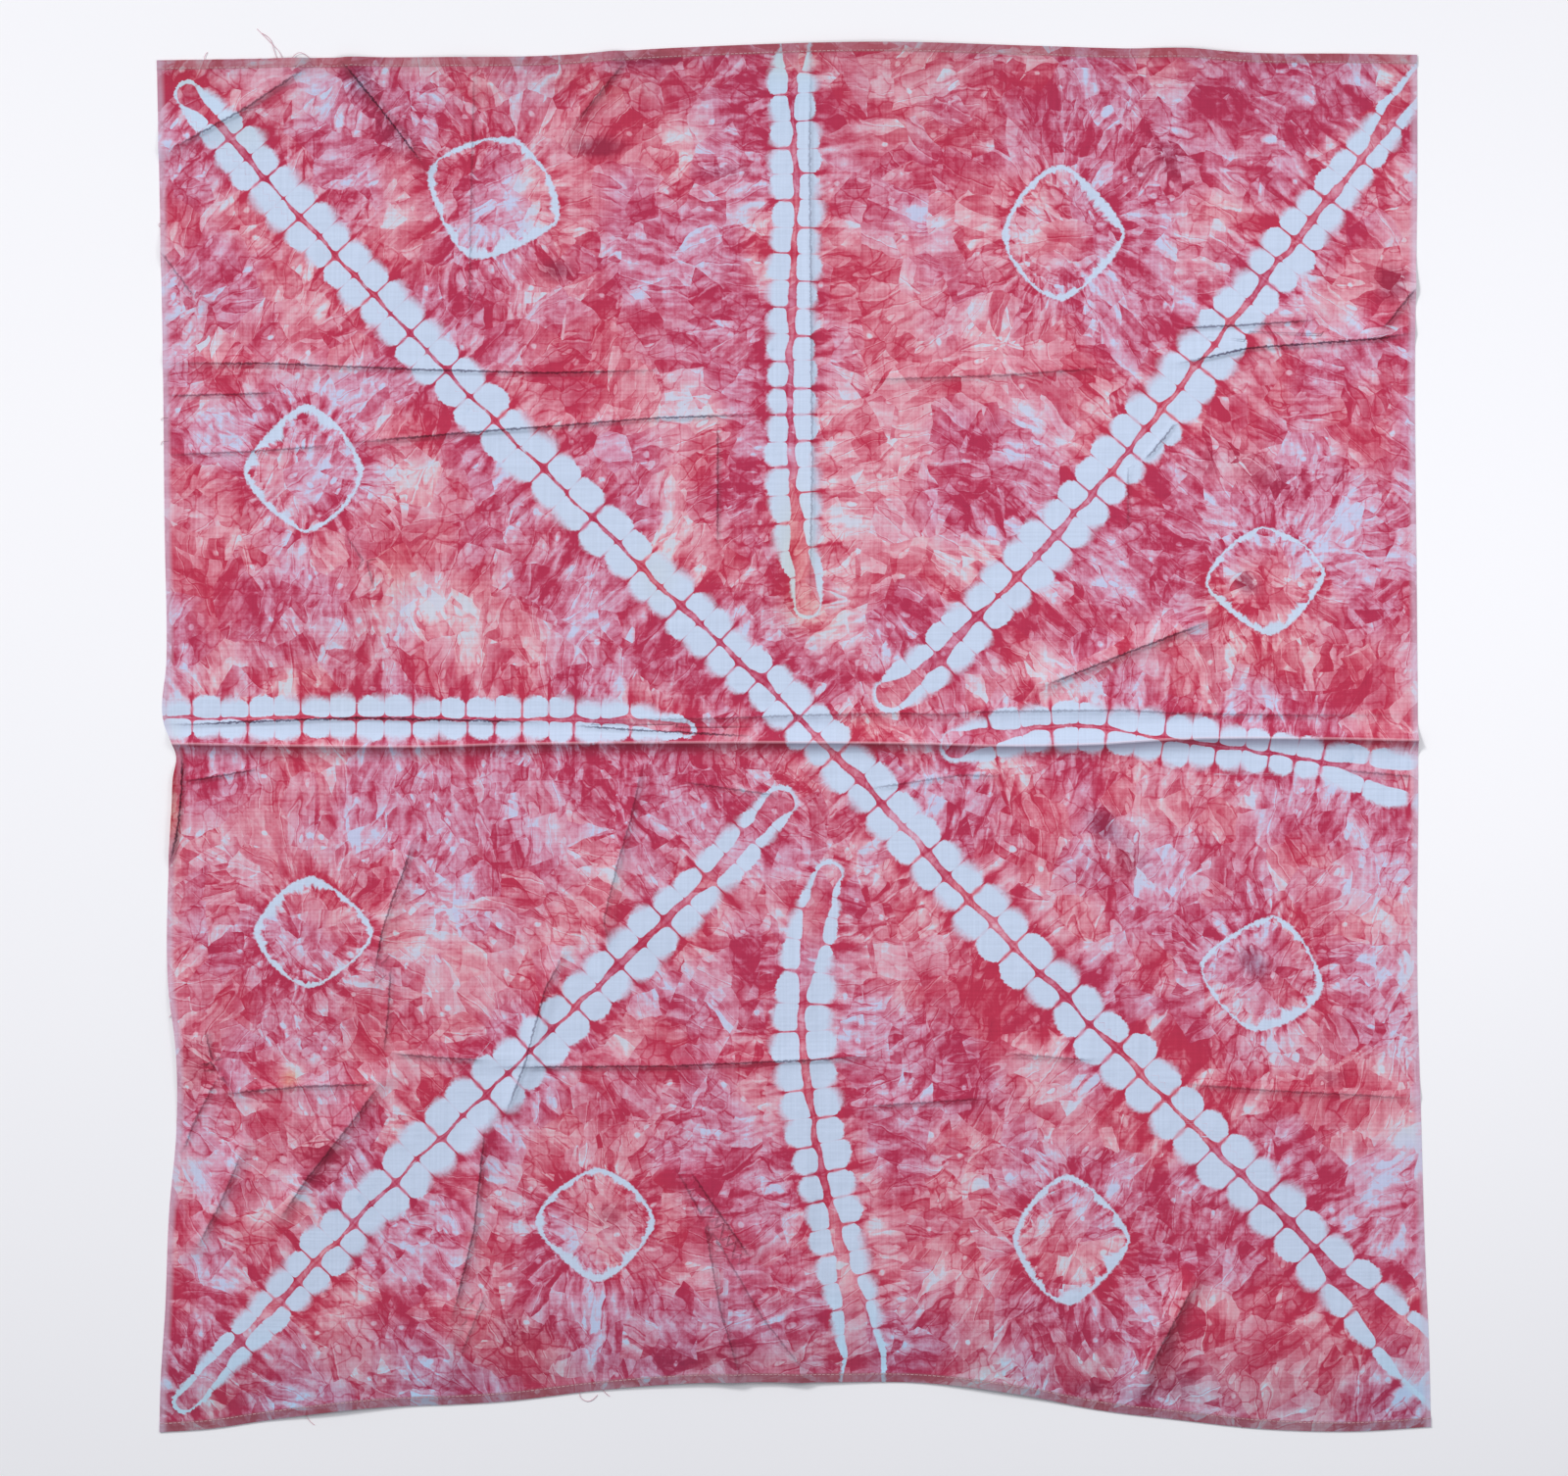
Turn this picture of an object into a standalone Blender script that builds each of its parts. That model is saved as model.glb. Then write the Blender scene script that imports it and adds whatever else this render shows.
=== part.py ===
"""A square headscarf of plain-woven cotton, laid out flat with its storage folds and creases still in it.

Metres, +Z up, +X along the top hem from left to right, +Y from the bottom hem to the top one.
The origin lies under the middle of the cloth's box, on the surface that the cloth rests on.
"""

import math
from typing import NamedTuple

import bmesh
import bpy
import numpy as np

MM = 0.001

# Driving sizes of the cloth
CLOTH_WIDTH = 920 * MM
CLOTH_LENGTH = 1000 * MM
CLOTH_THICKNESS = 1.0 * MM
HEM_THICKNESS = 2.0 * MM
HEM_WIDTH = 7.0 * MM
HEM_STEP = 1.5 * MM
CELL = 19 * MM

# The hems and the middle storage fold, from left to right: (share of the width, Y in mm)
TOP_HEM = (
    (0.00, 493.0), (0.15, 495.0), (0.30, 496.0), (0.41, 502.0), (0.48, 504.6), (0.58, 506.0),
    (0.70, 503.5), (0.77, 501.6), (0.82, 501.6), (0.85, 499.2), (0.95, 497.8), (1.00, 497.0),
)
MIDDLE_LINE = (
    (0.00, -4.5), (0.10, -6.0), (0.20, -6.6), (0.28, -4.6), (0.36, -3.9), (0.54, -3.8), (0.60, -4.4),
    (0.66, -5.9), (0.74, -4.8), (0.80, -1.4), (0.93, -0.8), (1.00, -2.0),
)
BOTTOM_HEM = (
    (0.00, -506.0), (0.04, -503.5), (0.08, -498.0), (0.15, -489.7), (0.28, -482.8), (0.34, -476.0), (0.41, -470.5),
    (0.52, -469.5), (0.61, -470.6), (0.68, -479.0), (0.74, -490.0), (0.80, -496.8), (0.86, -503.0), (0.94, -505.3),
    (1.00, -502.0),
)

# The selvedges, from bottom to top: (share of the length, X in mm)
LEFT_SELVEDGE = (
    (0.00, -462.0), (0.03, -461.5), (0.09, -457.8), (0.16, -455.0), (0.22, -449.6), (0.29, -451.0), (0.31, -454.0),
    (0.42, -455.0), (0.47, -454.0), (0.492, -450.0), (0.515, -459.0), (0.56, -457.0), (0.66, -458.4), (0.75, -459.2),
    (1.00, -464.0),
)
RIGHT_SELVEDGE = (
    (0.00, 464.0), (0.06, 462.6), (0.12, 460.0), (0.22, 457.0), (0.33, 454.1), (0.46, 454.8), (0.60, 453.8),
    (0.78, 452.5), (0.91, 454.1), (1.00, 454.0),
)


class Fold(NamedTuple):
    """A soft ridge in the cloth, in mm: its height, how far its slopes reach, and the line that it follows.

    It fades out towards both ends of its line, unless it runs through from edge to edge.
    """

    height: float
    reach: float
    path: tuple
    runs_through: bool = False


# Storage folds, pressed in where the cloth lay folded
MIDDLE_PATH = tuple(((share - 0.5) * CLOTH_WIDTH / MM, y) for share, y in MIDDLE_LINE)
MIDDLE_FOLD = Fold(6.0, 13.0, MIDDLE_PATH, runs_through=True)
SECOND_FOLD = Fold(2.5, 9.0, ((-260, 14), (-90, 12), (10, 16), (130, 19), (240, 20), (300, 17), (460, 17)))
STORAGE_FOLDS = (
    MIDDLE_FOLD,
    SECOND_FOLD,
    Fold(2.6, 17.0, ((-500, 273), (-380, 272), (-270, 267))),
    Fold(2.4, 17.0, ((-350, 214), (-230, 224), (-100, 233))),
    Fold(2.4, 17.0, ((40, 260), (140, 264), (250, 271))),
    Fold(3.0, 18.0, ((260, 269), (330, 285), (420, 292), (500, 297))),
    Fold(2.0, 15.0, ((270, 305), (330, 307), (400, 309))),
    Fold(2.4, 17.0, ((-440, -260), (-360, -256), (-280, -246))),
    Fold(2.4, 17.0, ((-310, -229), (-200, -236), (-90, -239), (80, -231))),
    Fold(2.4, 15.0, ((145, -228), (230, -236))),
    Fold(2.4, 15.0, ((40, -268), (150, -262))),
    Fold(2.6, 17.0, ((265, -252), (400, -259), (500, -264))),
    Fold(1.6, 14.0, ((11, 530), (13, 200), (10, -200), (12, -500))),
)

# Creases from crumpling, where the cloth stands a little off the surface
CREASES = (
    Fold(6.5, 25.0, ((-336, 510), (-300, 455), (-262, 405))),
    Fold(5.0, 25.0, ((-340, 510), (-372, 480), (-415, 448), (-480, 418))),
    Fold(4.0, 21.0, ((-480, 372), (-450, 340), (-425, 308))),
    Fold(4.0, 23.0, ((-124, 505), (-146, 468), (-170, 430))),
    Fold(4.0, 21.0, ((480, 350), (452, 326), (418, 286))),
    Fold(5.0, 18.0, ((166, 32), (240, 61), (316, 90))),
    Fold(3.2, 19.0, ((-108, -10), (-119, -60), (-130, -100), (-137, -158))),
    Fold(3.2, 19.0, ((-276, -62), (-286, -110), (-300, -150), (-308, -190))),
    Fold(3.2, 21.0, ((-164, -142), (-180, -190), (-190, -235), (-214, -286))),
    Fold(4.0, 21.0, ((-292, -240), (-322, -280), (-354, -320), (-382, -362))),
    Fold(3.2, 19.0, ((-432, -206), (-424, -236), (-404, -262))),
    Fold(4.0, 21.0, ((-396, -288), (-416, -334), (-440, -382))),
    Fold(4.0, 23.0, ((-222, -270), (-232, -350), (-248, -424), (-254, -490))),
    Fold(4.0, 23.0, ((-96, -296), (-66, -350), (-53, -418), (-36, -485))),
    Fold(4.0, 21.0, ((-80, -304), (-30, -378), (14, -485))),
    Fold(6.5, 26.0, ((298, -382), (274, -430), (246, -488))),
    Fold(7.5, 14.0, ((-459, 0), (-454, -22), (-455, -60), (-458, -100))),
)


class Swell(NamedTuple):
    """A low rise of the cloth, in mm: its height, its middle and its half widths along X and Y."""

    height: float
    x: float
    y: float
    half_x: float
    half_y: float


# Where the hems and the middle of the cloth don't lie quite flat
SWELLS = (
    Swell(5.0, -40.0, -480.0, 130.0, 70.0),
    Swell(4.0, 150.0, -480.0, 80.0, 55.0),
    Swell(4.0, -330.0, -496.0, 65.0, 50.0),
    Swell(4.5, 60.0, 508.0, 120.0, 55.0),
    Swell(3.5, -240.0, 496.0, 60.0, 45.0),
    Swell(3.5, 300.0, 502.0, 65.0, 45.0),
    Swell(4.0, 212.0, -70.0, 60.0, 48.0),
    Swell(3.5, -452.0, -220.0, 45.0, 80.0),
)


def smooth_through(rows, shares):
    """The value at each share along a smooth curve through a table's rows."""
    at, values = np.array(rows, float).T
    slopes = np.gradient(values, at)
    cell = np.clip(np.searchsorted(at, shares, side="right") - 1, 0, len(at) - 2)
    length = at[cell + 1] - at[cell]
    t = (shares - at[cell]) / length
    start = (2 * t**3 - 3 * t**2 + 1) * values[cell] + (t**3 - 2 * t**2 + t) * length * slopes[cell]
    end = (3 * t**2 - 2 * t**3) * values[cell + 1] + (t**3 - t**2) * length * slopes[cell + 1]
    return start + end


def laid_out(u, v):
    """The places, in metres, of points at shares u from left to right and v from bottom to top of the cloth."""
    left, right = smooth_through(LEFT_SELVEDGE, v), smooth_through(RIGHT_SELVEDGE, v)
    x = left + (right - left) * u
    bottom, middle, top = (smooth_through(line, u) for line in (BOTTOM_HEM, MIDDLE_LINE, TOP_HEM))
    lower_half = bottom + (middle - bottom) * 2 * v
    upper_half = middle + (top - middle) * (2 * v - 1)
    return np.column_stack([x, np.where(v < 0.5, lower_half, upper_half)]) * MM


def along_path(places, path):
    """Each place's distance from a path, and the share of the path's length that lies before its nearest point."""
    corners = np.array(path, float) * MM
    legs = np.diff(corners, axis=0)
    lengths = np.linalg.norm(legs, axis=1)
    before = np.concatenate([[0.0], np.cumsum(lengths)])
    distance = np.full(len(places), np.inf)
    share = np.zeros(len(places))
    for corner, leg, length, start in zip(corners, legs, lengths, before):
        t = np.clip((places - corner) @ leg / length**2, 0, 1)
        away = np.linalg.norm(places - corner - t[:, None] * leg, axis=1)
        nearer = away < distance
        distance = np.where(nearer, away, distance)
        share = np.where(nearer, (start + t * length) / before[-1], share)
    return distance, share


def rounded(x):
    """A soft bump: 1 at 0, falling to exactly 0 at 1 and beyond."""
    return np.cos(np.clip(np.abs(x), 0, 1) * math.pi / 2) ** 2


def faded(share):
    """1 along the middle of a fold's line, easing to 0 at its two ends."""
    return rounded(np.maximum(np.abs(share - 0.5) - 0.3, 0) / 0.2)


def lift(places):
    """How far the underside stands off the surface at each place, in metres. Away from the folds it is 0."""
    height = np.zeros(len(places))
    for fold in STORAGE_FOLDS + CREASES:
        distance, share = along_path(places, fold.path)
        ridge = fold.height * rounded(distance / (fold.reach * MM))
        height += ridge if fold.runs_through else ridge * faded(share)
    for swell in SWELLS:
        across = (places[:, 0] / MM - swell.x) / swell.half_x
        down = (places[:, 1] / MM - swell.y) / swell.half_y
        height += swell.height * rounded(np.hypot(across, down))
    return height * MM


def cut_rows(sheet):
    """Cuts the flat sheet along its hems and its middle storage folds, which are narrower than a cell."""
    inner_hem = 0.5 - HEM_WIDTH / CLOTH_LENGTH
    body = inner_hem - HEM_STEP / CLOTH_LENGTH
    rows = [-inner_hem, -body, body, inner_hem]
    rows += [offset * MM / CLOTH_LENGTH for offset in (-13, -7, -3, 3, 7, 12, 17, 21, 26)]
    for y in rows:
        whole = sheet.verts[:] + sheet.edges[:] + sheet.faces[:]
        bmesh.ops.bisect_plane(sheet, geom=whole, plane_co=(0, y, 0), plane_no=(0, 1, 0), dist=1e-6)


def sheet_mesh():
    """The cloth's underside: a grid of shares, cut along its narrow folds, laid out and lifted at its folds."""
    sheet = bmesh.new()
    rows = 2 * round(CLOTH_LENGTH / CELL / 2)
    bmesh.ops.create_grid(sheet, x_segments=round(CLOTH_WIDTH / CELL), y_segments=rows, size=0.5)
    cut_rows(sheet)
    shares = np.array([point.co[:2] for point in sheet.verts]) + 0.5
    places = laid_out(shares[:, 0], shares[:, 1])
    for point, place, height in zip(sheet.verts, places, lift(places)):
        point.co = (place[0], place[1], height)
    mesh = bpy.data.meshes.new("headscarf")
    sheet.to_mesh(mesh)
    sheet.free()
    mesh.shade_smooth()
    hem_rows = np.flatnonzero(np.abs(shares[:, 1] - 0.5) > 0.4999 - HEM_WIDTH / CLOTH_LENGTH)
    return mesh, [int(row) for row in hem_rows]


def dyed_cotton():
    material = bpy.data.materials.new("dyed_cotton")
    material.use_nodes = True
    shader = material.node_tree.nodes["Principled BSDF"]
    shader.inputs["Base Color"].default_value = (0.56, 0.13, 0.22, 1.0)
    shader.inputs["Roughness"].default_value = 0.9
    shader.inputs["Metallic"].default_value = 0.0
    return material


def headscarf():
    """One woven sheet, twice as thick along its turned hems at top and bottom."""
    mesh, hem_points = sheet_mesh()
    mesh.materials.append(dyed_cotton())
    scarf = bpy.data.objects.new("headscarf", mesh)
    bpy.context.scene.collection.objects.link(scarf)
    scarf.vertex_groups.new(name="hems").add(hem_points, 1.0, "REPLACE")
    solidify = scarf.modifiers.new("thickness", "SOLIDIFY")
    solidify.thickness = HEM_THICKNESS
    solidify.offset = 1.0
    solidify.vertex_group = "hems"
    solidify.thickness_vertex_group = CLOTH_THICKNESS / HEM_THICKNESS


def main():
    for thing in list(bpy.data.objects):
        bpy.data.objects.remove(thing)
    headscarf()


main()
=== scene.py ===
"""Looks of a tie-dyed cotton headscarf, laid out flat on a pale floor and seen from straight above.

Metres, +X along the top hem from left to right, +Y from the bottom hem to the top one, +Z up.
Tables and the dye's pattern are in millimetres on the cloth, from the middle of its box.
"""

import math
from typing import NamedTuple

import bpy
import numpy as np
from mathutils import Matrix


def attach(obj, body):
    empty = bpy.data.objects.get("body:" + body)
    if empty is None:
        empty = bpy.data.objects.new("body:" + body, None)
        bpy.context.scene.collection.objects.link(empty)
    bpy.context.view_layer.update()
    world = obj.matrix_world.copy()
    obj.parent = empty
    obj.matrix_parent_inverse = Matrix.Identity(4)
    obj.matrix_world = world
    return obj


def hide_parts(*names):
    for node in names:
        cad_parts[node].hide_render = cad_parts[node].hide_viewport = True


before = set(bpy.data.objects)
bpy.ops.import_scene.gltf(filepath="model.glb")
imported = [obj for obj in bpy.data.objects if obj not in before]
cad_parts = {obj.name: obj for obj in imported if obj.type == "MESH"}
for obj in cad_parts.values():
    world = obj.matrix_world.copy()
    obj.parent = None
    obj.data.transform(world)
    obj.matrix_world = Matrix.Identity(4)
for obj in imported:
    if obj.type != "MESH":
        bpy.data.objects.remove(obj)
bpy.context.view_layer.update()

MM = 0.001

# Driving sizes of the cloth
CLOTH_WIDTH = 920 * MM
CLOTH_LENGTH = 1000 * MM
CLOTH_THICKNESS = 0.5 * MM
HEM_THICKNESS = 1.3 * MM
HEM_WIDTH = 7.0 * MM
HEM_STEP = 1.5 * MM
COLUMNS = 212
ROWS = 208

# The hems and the middle storage fold, from left to right: (share of the width, Y in mm)
TOP_HEM = (
    (0.00, 493.0), (0.15, 495.0), (0.30, 496.0), (0.41, 502.0), (0.48, 504.6), (0.58, 506.0),
    (0.70, 503.5), (0.77, 501.6), (0.82, 501.6), (0.85, 499.2), (0.95, 497.8), (1.00, 497.0),
)
MIDDLE_LINE = (
    (0.00, -4.5), (0.10, -6.0), (0.20, -6.6), (0.28, -4.6), (0.36, -3.9), (0.54, -3.8), (0.60, -4.4),
    (0.66, -5.9), (0.74, -4.8), (0.80, -1.4), (0.93, -0.8), (1.00, -2.0),
)
BOTTOM_HEM = (
    (0.00, -506.0), (0.04, -503.5), (0.08, -498.0), (0.15, -489.7), (0.28, -482.8), (0.34, -476.0), (0.41, -470.5),
    (0.52, -469.5), (0.61, -470.6), (0.68, -479.0), (0.74, -490.0), (0.80, -496.8), (0.86, -503.0), (0.94, -505.3),
    (1.00, -502.0),
)

# The selvedges, from bottom to top: (share of the length, X in mm)
LEFT_SELVEDGE = (
    (0.00, -462.0), (0.03, -461.5), (0.09, -457.8), (0.16, -455.0), (0.22, -449.6), (0.29, -451.0), (0.31, -454.0),
    (0.41, -455.3), (0.4565, -452.7), (0.4745, -452.0), (0.491, -449.8), (0.515, -459.0), (0.56, -457.0), (0.66, -458.4), (0.75, -459.2),
    (1.00, -464.0),
)
RIGHT_SELVEDGE = (
    (0.00, 464.0), (0.06, 462.6), (0.12, 460.0), (0.22, 457.0), (0.33, 454.1), (0.46, 454.8), (0.60, 453.8),
    (0.78, 452.5), (0.91, 454.1), (1.00, 454.0),
)


class Fold(NamedTuple):
    """A ridge in the cloth, in mm: its height, how far its windward slope reaches, and the line that it follows.

    It has a keen crest and a short lee slope, and fades out towards both ends of its line.
    """

    height: float
    reach: float
    path: tuple


LEE_WAY = (0.5, -0.87)
LEE_REACH = 0.45


class Swell(NamedTuple):
    """A place where the cloth stands off the surface, in mm: its height, its middle and its half axes."""

    height: float
    x: float
    y: float
    half_x: float
    half_y: float


STORAGE_FOLDS = (
    Fold(2.5, 9.0, ((-260, 14), (-90, 12), (10, 16), (130, 19), (240, 20), (300, 17), (460, 17))),
    Fold(1.7, 16, ((-500, 273), (-380, 272), (-270, 267))),
    Fold(1.9, 17, ((-350, 214), (-230, 224), (-100, 233))),
    Fold(1.7, 17, ((40, 260), (140, 264), (250, 271))),
    Fold(2.1, 17, ((260, 269), (330, 285), (420, 292), (500, 297))),
    Fold(2.0, 15, ((270, 305), (330, 307), (400, 309))),
    Fold(1.7, 17, ((-440, -260), (-360, -256), (-280, -246))),
    Fold(1.9, 17, ((-310, -229), (-200, -236), (-90, -239), (80, -231))),
    Fold(1.7, 15, ((145, -228), (230, -236))),
    Fold(1.7, 15, ((40, -268), (150, -262))),
    Fold(1.2, 15, ((265, -252), (400, -259), (500, -264))),
    Fold(1.6, 14, ((11, 530), (13, 200), (10, -200), (12, -500))),
)
CREASES = (
    Fold(5.2, 24, ((-336, 510), (-300, 455), (-262, 405))),
    Fold(3.2, 22, ((-340, 510), (-372, 480), (-415, 448), (-480, 418))),
    Fold(4.0, 21, ((-480, 372), (-450, 340), (-425, 308))),
    Fold(4.0, 23, ((-124, 505), (-146, 468), (-170, 430))),
    Fold(4.0, 21, ((480, 350), (452, 326), (418, 286))),
    Fold(5.0, 18, ((166, 32), (240, 61), (316, 90))),
    Fold(3.2, 19, ((-108, -10), (-119, -60), (-130, -100), (-137, -158))),
    Fold(3.2, 19, ((-276, -62), (-286, -110), (-300, -150), (-308, -190))),
    Fold(3.2, 21, ((-164, -142), (-180, -190), (-190, -235), (-214, -286))),
    Fold(4.0, 21, ((-292, -240), (-322, -280), (-354, -320), (-382, -362))),
    Fold(3.2, 19, ((-432, -206), (-424, -236), (-404, -262))),
    Fold(4.0, 21, ((-396, -288), (-416, -334), (-440, -382))),
    Fold(4.0, 23, ((-222, -270), (-232, -350), (-248, -424), (-254, -490))),
    Fold(4.0, 23, ((-96, -296), (-66, -350), (-53, -418), (-36, -485))),
    Fold(4.0, 21, ((-80, -304), (-30, -378), (14, -485))),
    Fold(6.5, 26, ((298, -382), (274, -430), (246, -488))),
    Fold(7.5, 14, ((-459, 0), (-454, -22), (-455, -60), (-458, -100))),
)
SWELLS = (
    Swell(3, -40, -480, 130, 70), Swell(2.4, 150, -480, 80, 55), Swell(2.4, -330, -496, 65, 50),
    Swell(3.6, 60, 508, 120, 55), Swell(2.8, -240, 496, 60, 45), Swell(2.8, 300, 502, 65, 45),
    Swell(4, 212, -70, 60, 48), Swell(3.5, -452, -220, 45, 80),
)
MIDDLE_FOLD_HEIGHT = 6.0
MIDDLE_FOLD_REACH = 13.0
MIDDLE_FOLD_ROWS = (-12.5, -10.0, -7.6, -5.4, -3.6, -2.2, -1.0, 0.0, 1.0, 2.2, 3.6, 5.4, 7.6, 10.0, 12.5)


class Band(NamedTuple):
    """A stitched band of the dye pattern. Its rows are X and Y in mm, stitches passed, half width, red core's half width.

    Where one side's stitches lie between the other side's, stagger is 1. A looped end closes round its core.
    """

    stagger: float
    loops: tuple
    rows: tuple


# Each band is laid out by its ends, its few bends and the places where its width changes
THROUGH_BAND = Band(0, (True, False), (
    (-441, 468, 0, 11, 8), (-422, 450, 1, 17, 3.6), (-398, 422, 3, 19, 1.8), (-253, 267, 14, 20, 0.9),
    (-111, 124, 22, 19, 1.6), (31, -13, 32, 19, 2.4), (161, -153, 40, 21, 2.2), (271, -263, 46, 22, 1.4),
    (378, -372, 52, 22, 2.5), (414, -410, 54, 25, 8.6), (457, -454, 56, 22, 17),
))
OTHER_BANDS = (
    # Upper right, from its loop near the middle to the right selvedge
    Band(0, (True, False), (
        (71, 31, 0, 14, 10.5), (89, 44, 1, 19, 5.5), (135, 88, 4, 20, 2), (244, 209, 12, 23, 2),
        (343, 333, 20, 21, 2.3), (413, 421, 26, 17, 3), (454, 477, 30, 10, 8),
    )),
    # Lower left, a loop at both ends
    Band(0, (True, True), (
        (-10, -47, 0, 13, 10), (-32, -72, 2, 16, 5), (-94, -134, 6, 20, 2.5), (-208, -244, 13, 22, 1),
        (-307, -340, 19, 21, 1.4), (-389, -425, 25, 16, 3), (-444, -484, 29, 9, 7),
    )),
    # Top, from the top hem down to its loop
    Band(1, (False, True), (
        (1, 501, -2, 12, 10), (-2, 480, -0.6, 18, 4), (0, 449, 1, 19, 2), (0, 177, 15, 19, 3),
        (4, 137, 17, 16, 7), (11, 97, 19, 11, 8.6),
    )),
    # Bottom, from its loop down to the bottom hem
    Band(1, (True, False), (
        (25, -100, 0, 11, 8.6), (17, -127, 2, 17, 9), (6, -194, 5, 23, 3), (14, -277, 9, 24, 2),
        (34, -376, 14, 20, 4.4), (50, -452, 18, 17, 13), (50, -477, 19, 17, 15),
    )),
    # Left, from the left selvedge to its loop, along the second storage fold
    Band(0, (False, True), (
        (-478, 14, -2, 16, 1.1), (-198, 13, 12, 17, 1.1), (-140, 12, 15, 16, 1.8), (-98, 9, 17, 12, 4.3),
        (-79, 5, 18, 8, 5),
    )),
    # Right, from its loop to the right selvedge
    Band(0, (True, False), (
        (119, -6, -1, 13, 10.5), (145, 0, 0, 19, 5.5), (187, 8, 2, 18, 1.4), (270, -1, 6, 19, 1.1),
        (384, -18, 12, 16, 1.4), (436, -30, 13.6, 21, 6.4), (471, -37, 14.4, 22, 8),
    )),
)
STITCH_PITCH = 19.6


class Ring(NamedTuple):
    """A tied ring of the dye pattern, a rounded square that stands on a corner, in mm and degrees.

    Its middle, half axes and turn, its line's thickness, and where and how much thicker the line gets.
    """

    middle: tuple
    half_axes: tuple
    turn: float
    line: float
    thick_towards: float
    thick_line: float


# 2 would be an oval and 1 a square with sharp corners; a tie by hand is also a little uneven
RING_ROUNDNESS = 1.4
RING_UNEVENNESS = 0.03
RINGS = (
    Ring((-219, 394), (50, 46), -20, 2.8, -70, 6.5),
    Ring((195, 367), (44, 49), 0, 2.4, 15, 5),
    Ring((-356, 195), (43, 46), 0, 2.6, 120, 6),
    Ring((344, 115), (43, 39), 5, 2.6, -60, 5),
    Ring((-351, -142), (43, 40), 0, 2.4, 130, 5),
    Ring((342, -173), (45, 42), -12, 2.4, -50, 6),
    Ring((-144, -354), (43, 41), 0, 2.6, -110, 6),
    Ring((201, -366), (42, 47), 0, 2.6, -60, 7.5),
)

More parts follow.
